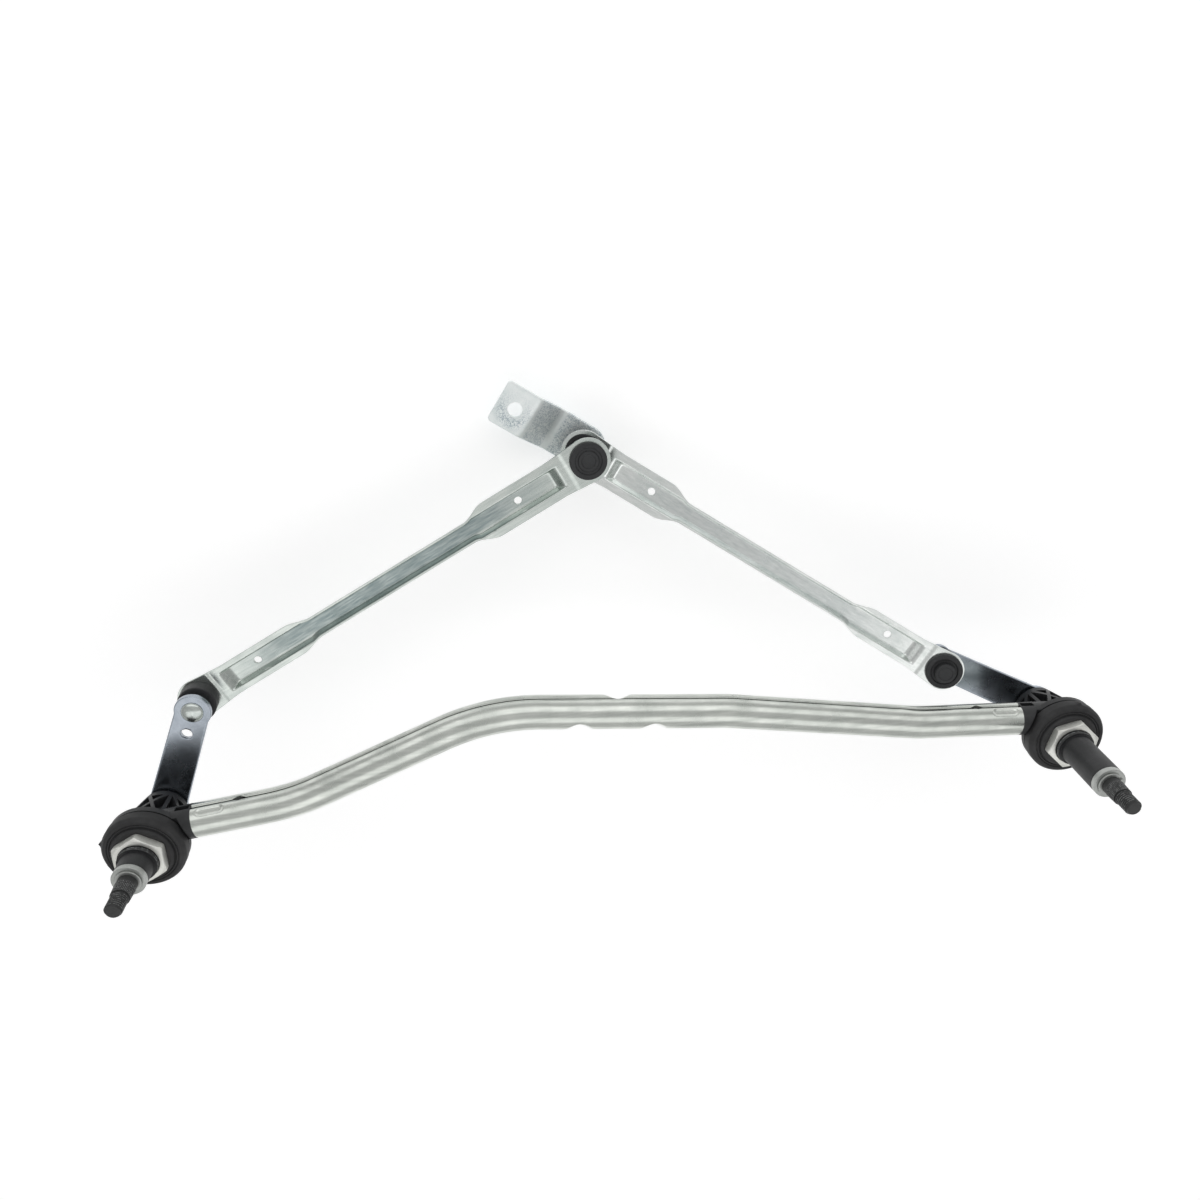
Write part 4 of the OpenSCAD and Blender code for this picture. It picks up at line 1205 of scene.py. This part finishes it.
@dataclass(frozen=True)
class DriveLink:
    """A pressed drive link with a trough along it and a ball socket in each end ring."""

    side: Side
    heading: float
    slope: float
    run: float
    wide_length: float
    plate_top: float
    lever_cap: Cap
    crank_cap: Cap
    lever_flipped: bool
    crank_drop: float
    finish: Finish
    # Depth of the painted shade on the trough's floor and far wall.
    trough_shade: float
    thickness: float = 1.6
    lever_ring: float = 27.0
    crank_ring: float = 29.5
    lever_wide: float = 22.5
    crank_wide: float = 26.0
    narrow: float = 15.0
    blend: float = 18.0
    trough_open: float = 15.6
    trough_lip: float = 1.1
    trough_wall: float = 2.2
    trough_depth: float = 6.0
    trough_in: float = 23.0
    trough_ramp: float = 7.0
    trough_corner: float = 0.2
    joggle: float = 0.5
    joggle_in: float = 13.0
    joggle_length: float = 2.5
    socket_hole: float = 21.04
    drain: float = 5.0
    lever_drain_in: float = 44.0
    crank_drain_in: float = 52.0
    drill_reach: float = 30.0
    rows: int = 420
    columns: int = 72

    @property
    def body(self) -> str:
        """Name of the link's CAD body."""
        return self.side.value + "_drive_link"

    def place(self) -> Placement:
        """Axes on the lever ball, with X along the plate."""
        return Placement(tuple(joint_place(self.side.value + "_link_turn")), self.heading, self.slope)

    def half_width(self, x: Array) -> Array:
        """Half width along the link: ring, taper to the wide stretch, S-curve, channel and the same back.

        The taper is a straight line and the S-curve eases from wide to narrow with a half cosine.

        Args:
            x: Places along the link.

        Returns:
            The half width at each place.
        """
        inward = np.minimum(x, self.run - x)
        near = x < self.run / 2.0
        ring = np.where(near, self.lever_ring, self.crank_ring) / 2.0
        wide = np.where(near, self.lever_wide, self.crank_wide) / 2.0
        u = np.clip((inward - self.wide_length) / self.blend, 0.0, 1.0)
        strip = self.narrow / 2.0 + (wide - self.narrow / 2.0) / 2.0 * (1.0 + np.cos(math.pi * u))
        taper = ring + (wide - ring) * inward / self.trough_in
        strip = np.where(inward < self.trough_in, taper, strip)
        circle = np.sqrt(np.maximum(ring**2 - inward**2, 0.0))
        return np.where(inward > 0.0, np.maximum(strip, circle), circle)

    def height(self, x: Array, y: Array, depth: float = 0.0) -> Array:
        """Height of the sheet below the plate: 0 at the rings, the trough's depth on its floor.

        The side wall falls from the trough's mouth to its floor as |y| shrinks, the end wall as x
        moves in from the ring, and the softer minimum of the two gives the squared end with its
        rounded corners. A joggle lowers everything between the rings by a small step. Deeper in the
        sheet the walls stand further out by depth tan(f / 2), with f the wall's slope.

        Args:
            x: Places along the link.
            y: Places across it.
            depth: Distance below the upper face.

        Returns:
            The height at each place.
        """
        side_out = depth * math.tan(math.atan2(self.trough_depth, self.trough_wall) / 2.0)
        end_out = depth * math.tan(math.atan2(self.trough_depth, self.trough_ramp) / 2.0)
        inward = np.minimum(x, self.run - x)
        mouth = np.minimum(self.trough_open / 2.0, self.half_width(x) - self.trough_lip) + side_out
        wall = (mouth - np.abs(y)) / self.trough_wall
        end = (inward - self.trough_in + end_out + self.trough_ramp / 2.0) / self.trough_ramp
        step = self.joggle * smooth_step((inward - self.joggle_in) / self.joggle_length)
        return -self.trough_depth * smooth_step(soft_min(wall, end, self.trough_corner)) - step - depth

    def sheet(self) -> Array:
        """Lays the sheet: the upper face from side to side, then the lower face back.

        Returns:
            A (rows, 2 columns, 3) grid that wraps across.
        """
        ends = np.cos(np.linspace(0.0, math.pi / 2.0, 50))[:-1] / 2.0
        inner = np.linspace(0.0, self.run, self.rows)
        x = np.concatenate((-self.lever_ring * ends, inner, self.run + self.crank_ring * ends[::-1]))[:, None]
        y = self.half_width(x) * np.linspace(-1.0, 1.0, self.columns)
        upper, lower = (
            np.stack((x + 0.0 * y, y, self.plate_top + self.height(x, y, depth)), axis=-1)
            for depth in (0.0, self.thickness)
        )
        return np.concatenate((upper, lower[:, ::-1]), axis=1)

    def painted_trough_shade(self, points: Array) -> Array:
        """Lays painted shade in the trough: an eased half sine along the link, on the trough's floor and far
        wall.

        Args:
            points: The sheet's grid in the link's own axes.

        Returns:
            A number from 0, unshaded, to the shade's depth at each point.
        """
        # Painted shade: darkest in the middle of the link, deep in the trough and on its far wall.
        x, y, z = np.moveaxis(points, -1, 0)
        along = smooth_step(1.6 * np.sin(math.pi * np.clip(x / self.run, 0.0, 1.0)) - 0.3)
        deep = smooth_step((self.plate_top - z) / self.trough_depth * 2.0 - 0.6)
        far = smooth_step((y + self.narrow / 2.0 - 2.0) / 2.0)
        return self.trough_shade * along * deep * far

    def build(self) -> None:
        """Builds and dresses the link and its sockets."""
        points = self.sheet()
        place = self.place()
        node = self.side.value + "_link"
        # The sheet's marks attribute holds the painted shade of its trough.
        piece = grid_mesh(node + "_pressed", place, points, False, sharp=45.0, wear_and_painted_light=self.painted_trough_shade(points))
        holes = (
            (0.0, 0.0, self.socket_hole), (self.run, 0.0, self.socket_hole),
            (self.lever_drain_in, 0.0, self.drain), (self.run - self.crank_drain_in, 0.0, self.drain),
        )
        drill(piece, place, holes, self.drill_reach)
        dress(piece, self.finish, self.body, node)
        lever_end = Placement(place.origin, self.heading, self.slope, self.lever_flipped)
        far = place.apply(np.array((self.run, 0.0, -self.crank_drop))) / MM
        crank_end = Placement(tuple(far), self.heading, self.slope)
        BallSocket(self.lever_cap).build(node + "_lever_socket", lever_end, self.body)
        BallSocket(self.crank_cap).build(node + "_crank_socket", crank_end, self.body)


@dataclass(frozen=True)
class MotorCrank:
    """The cranked motor arm with its two-ball pin."""

    heading: float = 144.5
    throw: float = 53.0
    width: float = 30.0
    thickness: float = 4.0
    edge: float = 0.8
    rise: float = 8.0
    bend_in: float = 11.0
    bend_soft: float = 1.8
    slant: float = 18.0
    tail: float = 12.5
    chamfer: float = 1.6
    motor_hole: float = 10.0
    pin_hole: float = 8.04
    drill_reach: float = 30.0
    ball_stand: float = 9.5
    ball_pitch: float = 18.0
    ring_radius: float = 9.0
    ring_spread: float = 3.5
    ring_frost: float = 0.8
    # Share of grey on the slant, which is partly zinc crystals and partly painted shade.
    slant_frost_and_shade: float = 0.45
    flat_frost: float = 0.55

    def place(self) -> Placement:
        """Axes on the foot of the ball pin, with Z along the pin and X to the motor hole."""
        foot = joint_place("crank_turn") - (0.0, 0.0, self.ball_stand + self.ball_pitch)
        return Placement(tuple(foot), self.heading)

    def arm(self) -> Array:
        """Lays the arm: a rounded strip with a round ball end, which rises to the motor end.

        The half width is sqrt(h^2 - x^2) up to the ball and h beyond it, less the end's chamfer. The
        upper face rises in a straight line over the slanted stretch, and a running mean of that line
        rounds its ends by the sheet's bend radius.

        Returns:
            A grid of points that wraps across.
        """
        half, end, top = self.width / 2.0, self.throw + self.tail, self.throw - self.bend_in
        round_x = -half * np.cos(np.linspace(0.0, math.pi / 2.0, 40))
        x = np.concatenate((round_x, np.linspace(0.0, end, 150)[1:]))
        strip = half - np.maximum(x - (end - self.chamfer), 0.0)
        wide = np.where(x > 0.0, strip, np.sqrt(np.maximum(half**2 - x**2, 0.0)))
        near = x[:, None] + self.bend_soft * np.linspace(-1.0, 1.0, 21)
        lift = np.interp(near, (top - self.slant, top), (0.0, self.rise)).mean(axis=1)
        y, z = strip_section(wide, self.thickness, self.edge, 32)
        lean = np.gradient(lift, x)[:, None]
        tilt = 1.0 / np.sqrt(1.0 + lean**2)
        return np.stack((x[:, None] - z * lean * tilt, y, lift[:, None] + z * tilt), axis=-1)

    def frost_and_slant_shade(self, points: Array) -> Array:
        """Finds where zinc crystals show, on the ball end's flat and one side of the motor hole, and lays the
        slant's grey, which is partly crystals and partly painted shade.

        Args:
            points: The arm's grid in its own axes.

        Returns:
            A number from 0, smooth, to fully marked at each point.
        """
        across = points[..., 1]
        off = np.hypot(points[..., 0] - self.throw, across)
        ring = np.exp(-(((off - self.ring_radius) / self.ring_spread) ** 2))
        ring *= 0.55 + 0.45 * across / np.maximum(off, 1.0)
        x, top = points[:, :1, 0], self.throw - self.bend_in
        low = top - self.slant
        # The slant's grey: partly zinc crystals, partly painted shade of the face that slopes away from the
        # light.
        slant = smooth_step((x - low - 1.0) / 1.5) * smooth_step((top - 2.0 - x) / 1.5)
        flat = smooth_step((low - 2.5 - x) / 2.0)
        strips = np.maximum(self.slant_frost_and_shade * slant, self.flat_frost * flat)
        return np.maximum(strips, self.ring_frost * ring)

    def build(self) -> None:
        """Builds and dresses the arm and its pin."""
        place, points = self.place(), self.arm()
        piece = grid_mesh("crank_arm_strip", place, points, False, (-1,), 45.0, self.frost_and_slant_shade(points))
        holes = ((0.0, 0.0, self.pin_hole), (self.throw, 0.0, self.motor_hole))
        drill(piece, place, holes, self.drill_reach)
        dress(piece, FROSTED_ZINC, "motor_crank", "crank_arm")
        balls = (self.ball_stand, self.ball_stand + self.ball_pitch)
        BallPin(self.thickness, balls).build("crank_ball_pin", place, "motor_crank")


@dataclass(frozen=True)
class PlainNodes:
    """CAD nodes that show as they are, with a finish."""

    housings: tuple[str, ...] = ("left_housing", "right_housing")
    bushes: tuple[str, ...] = ("left_upper_bush", "left_lower_bush", "right_upper_bush", "right_lower_bush")
    seals: tuple[str, ...] = ("left_seal", "right_seal")

    def dress(self) -> None:
        """Gives each node its finish."""
        pairs = ((self.housings, BLACK_NYLON), (self.bushes, BRONZE), (self.seals, BLACK_RUBBER))
        for names, finish in pairs:
            for name in names:
                node = frame["nodes"][name]
                node.data.materials.clear()
                node.data.materials.append(finish.material())
                LOG.info("%s keeps its CAD shape in %s", name, finish.name)


# Studio


def stand(name: str, data: bpy.types.ID, axes: Sequence[Array], place: Triple) -> Piece:
    """Puts a light or a camera in the studio.

    Args:
        name: Object name.
        data: Its light or camera.
        axes: Its own X, Y and Z in the frame.
        place: Its point in metres.

    Returns:
        The new object, linked to the scene.
    """
    thing = bpy.data.objects.new(name, data)
    columns = np.stack((*axes, np.array(place)), axis=1)
    thing.matrix_world = Matrix(np.vstack((columns, (0.0, 0.0, 0.0, 1.0))).tolist())
    bpy.context.scene.collection.objects.link(thing)
    return thing


@dataclass(frozen=True)
class SoftBox:
    """A long studio light that points at the middle of the linkage, sized in metres and watts."""

    name: str
    place: Triple
    length: float
    width: float
    power: float

    def build(self, target: Array) -> None:
        """Hangs the light.

        Args:
            target: Point that it faces, in metres.
        """
        light = bpy.data.lights.new(self.name, "AREA")
        light.shape, light.size, light.size_y = "RECTANGLE", self.length, self.width
        light.energy = self.power
        back = unit(np.array(self.place) - target)
        side = unit(np.cross((0.0, 1.0, 0.0), back))
        stand(self.name, light, (side, np.cross(back, side), back), self.place)


@dataclass(frozen=True)
class Studio:
    """Pale floor, soft light and the camera of the photograph, with lengths in metres."""

    floor_size: float = 6.0
    floor_gap: float = 0.004
    floor_middle: tuple[float, float] = (0.3, 0.1)
    floor_lift: float = 0.36
    room_light: float = 0.6
    end_light: float = 0.75
    end_span: tuple[float, float] = (0.3, 0.9)
    camera_place: Triple = (0.262376, 0.376519, 0.511307)
    camera_right: Triple = (0.9943, -0.0614, 0.0866)
    camera_back: Triple = (-0.0536, 0.4136, 0.9089)
    lens: float = 29.565
    boxes: tuple[SoftBox, ...] = (
        SoftBox("key_softbox", (0.3, -0.72, 1.44), 3.2, 1.0, 6.2),
        SoftBox("fill_softbox", (0.3, 1.36, 1.1), 3.2, 1.0, 6.6),
    )

    def build_floor(self) -> None:
        """Lays the pale floor below the lowest point, lifted to white for the camera and in reflections."""
        half, z = self.floor_size / 2.0, CAD_BOUNDS[0][2] - self.floor_gap
        corners = np.array(((-half, -half, z), (half, -half, z), (half, half, z), (-half, half, z)))
        floor = new_mesh("floor", corners + (*self.floor_middle, 0.0), [[0, 1, 2, 3]])
        material, tree, shader = new_material("Pale_Studio_Floor")
        shader.inputs["Base Color"].default_value = srgb("#F2F2F2")
        shader.inputs["Roughness"].default_value = 0.9
        shader.inputs["Emission Color"].default_value = srgb("#FFFFFF")
        path = add_node(tree, "LightPath").node.outputs
        seen = path["Is Camera Ray"]
        for ray in ("Is Glossy Ray", "Is Transmission Ray"):
            seen = add_node(tree, "Math", None, {0: seen, 1: path[ray]}, operation="MAXIMUM")
        lift = add_node(tree, "Math", {1: self.floor_lift}, {0: seen}, operation="MULTIPLY")
        tree.links.new(lift, shader.inputs["Emission Strength"])
        floor.data.materials.append(material)

    def build_world(self) -> None:
        """Sets soft surroundings, dimmer at the two far ends, and white for the camera past the floor."""
        world = bpy.data.worlds.new("soft_studio")
        bpy.context.scene.world = world
        world.use_nodes = True
        tree = world.node_tree
        tree.nodes.clear()
        way = add_node(tree, "TexCoord", out="Generated")
        side = add_node(tree, "SeparateXYZ", None, {0: way})
        off = add_node(tree, "Math", None, {0: side}, operation="ABSOLUTE")
        span = dict(zip(("From Min", "From Max"), self.end_span))
        span |= {"To Min": self.room_light, "To Max": self.room_light * self.end_light}
        level = add_node(tree, "MapRange", span, {"Value": off})
        room = add_node(tree, "Background", {"Color": srgb("#FFFFFF")}, {"Strength": level})
        white = add_node(tree, "Background", {"Color": srgb("#FFFFFF"), "Strength": 1.0})
        camera = add_node(tree, "LightPath", out="Is Camera Ray")
        mixed = add_node(tree, "MixShader", None, {0: camera, 1: room, 2: white})
        tree.links.new(mixed, tree.nodes.new("ShaderNodeOutputWorld").inputs[0])

    def build_camera(self) -> None:
        """Sets the camera where the photograph was taken."""
        camera = bpy.data.cameras.new("photo_camera")
        camera.lens, camera.sensor_width = self.lens, 36.0
        camera.clip_start, camera.clip_end = 0.01, 50.0
        back = unit(np.array(self.camera_back))
        up = unit(np.cross(back, self.camera_right))
        axes = (np.cross(up, back), up, back)
        bpy.context.scene.camera = stand("photo_camera", camera, axes, self.camera_place)

    def build(self) -> None:
        """Builds the floor, the light and the camera."""
        self.build_floor()
        self.build_world()
        middle = (np.array(CAD_BOUNDS[0]) + np.array(CAD_BOUNDS[1])) / 2.0
        for box in self.boxes:
            box.build(middle)
        self.build_camera()
        bpy.context.scene.view_settings.view_transform = "Standard"


def main() -> None:
    """Dresses the linkage and sets the studio."""
    logging.basicConfig(level=logging.INFO, format="%(name)s: %(message)s")
    FrameTube().build()
    WiperPivot(Side.LEFT, 76.5, 65.0, True, 162.0, 27.0, 225.0).build()
    WiperPivot(Side.RIGHT, 86.0, 150.0, False, 76.0, 13.0, 40.0).build()
    # Each link's finish and the number after it give its sheet and the depth of its painted trough shade.
    DriveLink(
        Side.LEFT, 25.7512, -6.18109, 295.970, 72.0, -5.0, Cap.RINGED, Cap.RINGED, True, 11.6,
        SHADED_TROUGH_SHEET, 0.85,
    ).build()
    DriveLink(
        Side.RIGHT, 146.177, -13.0355, 283.301, 61.0, 6.6, Cap.BOSS, Cap.OPEN, False, 0.0,
        FRESH_SHEET, 0.3,
    ).build()
    MotorCrank().build()
    PlainNodes().dress()
    Studio().build()


if __name__ == "__main__":
    main()
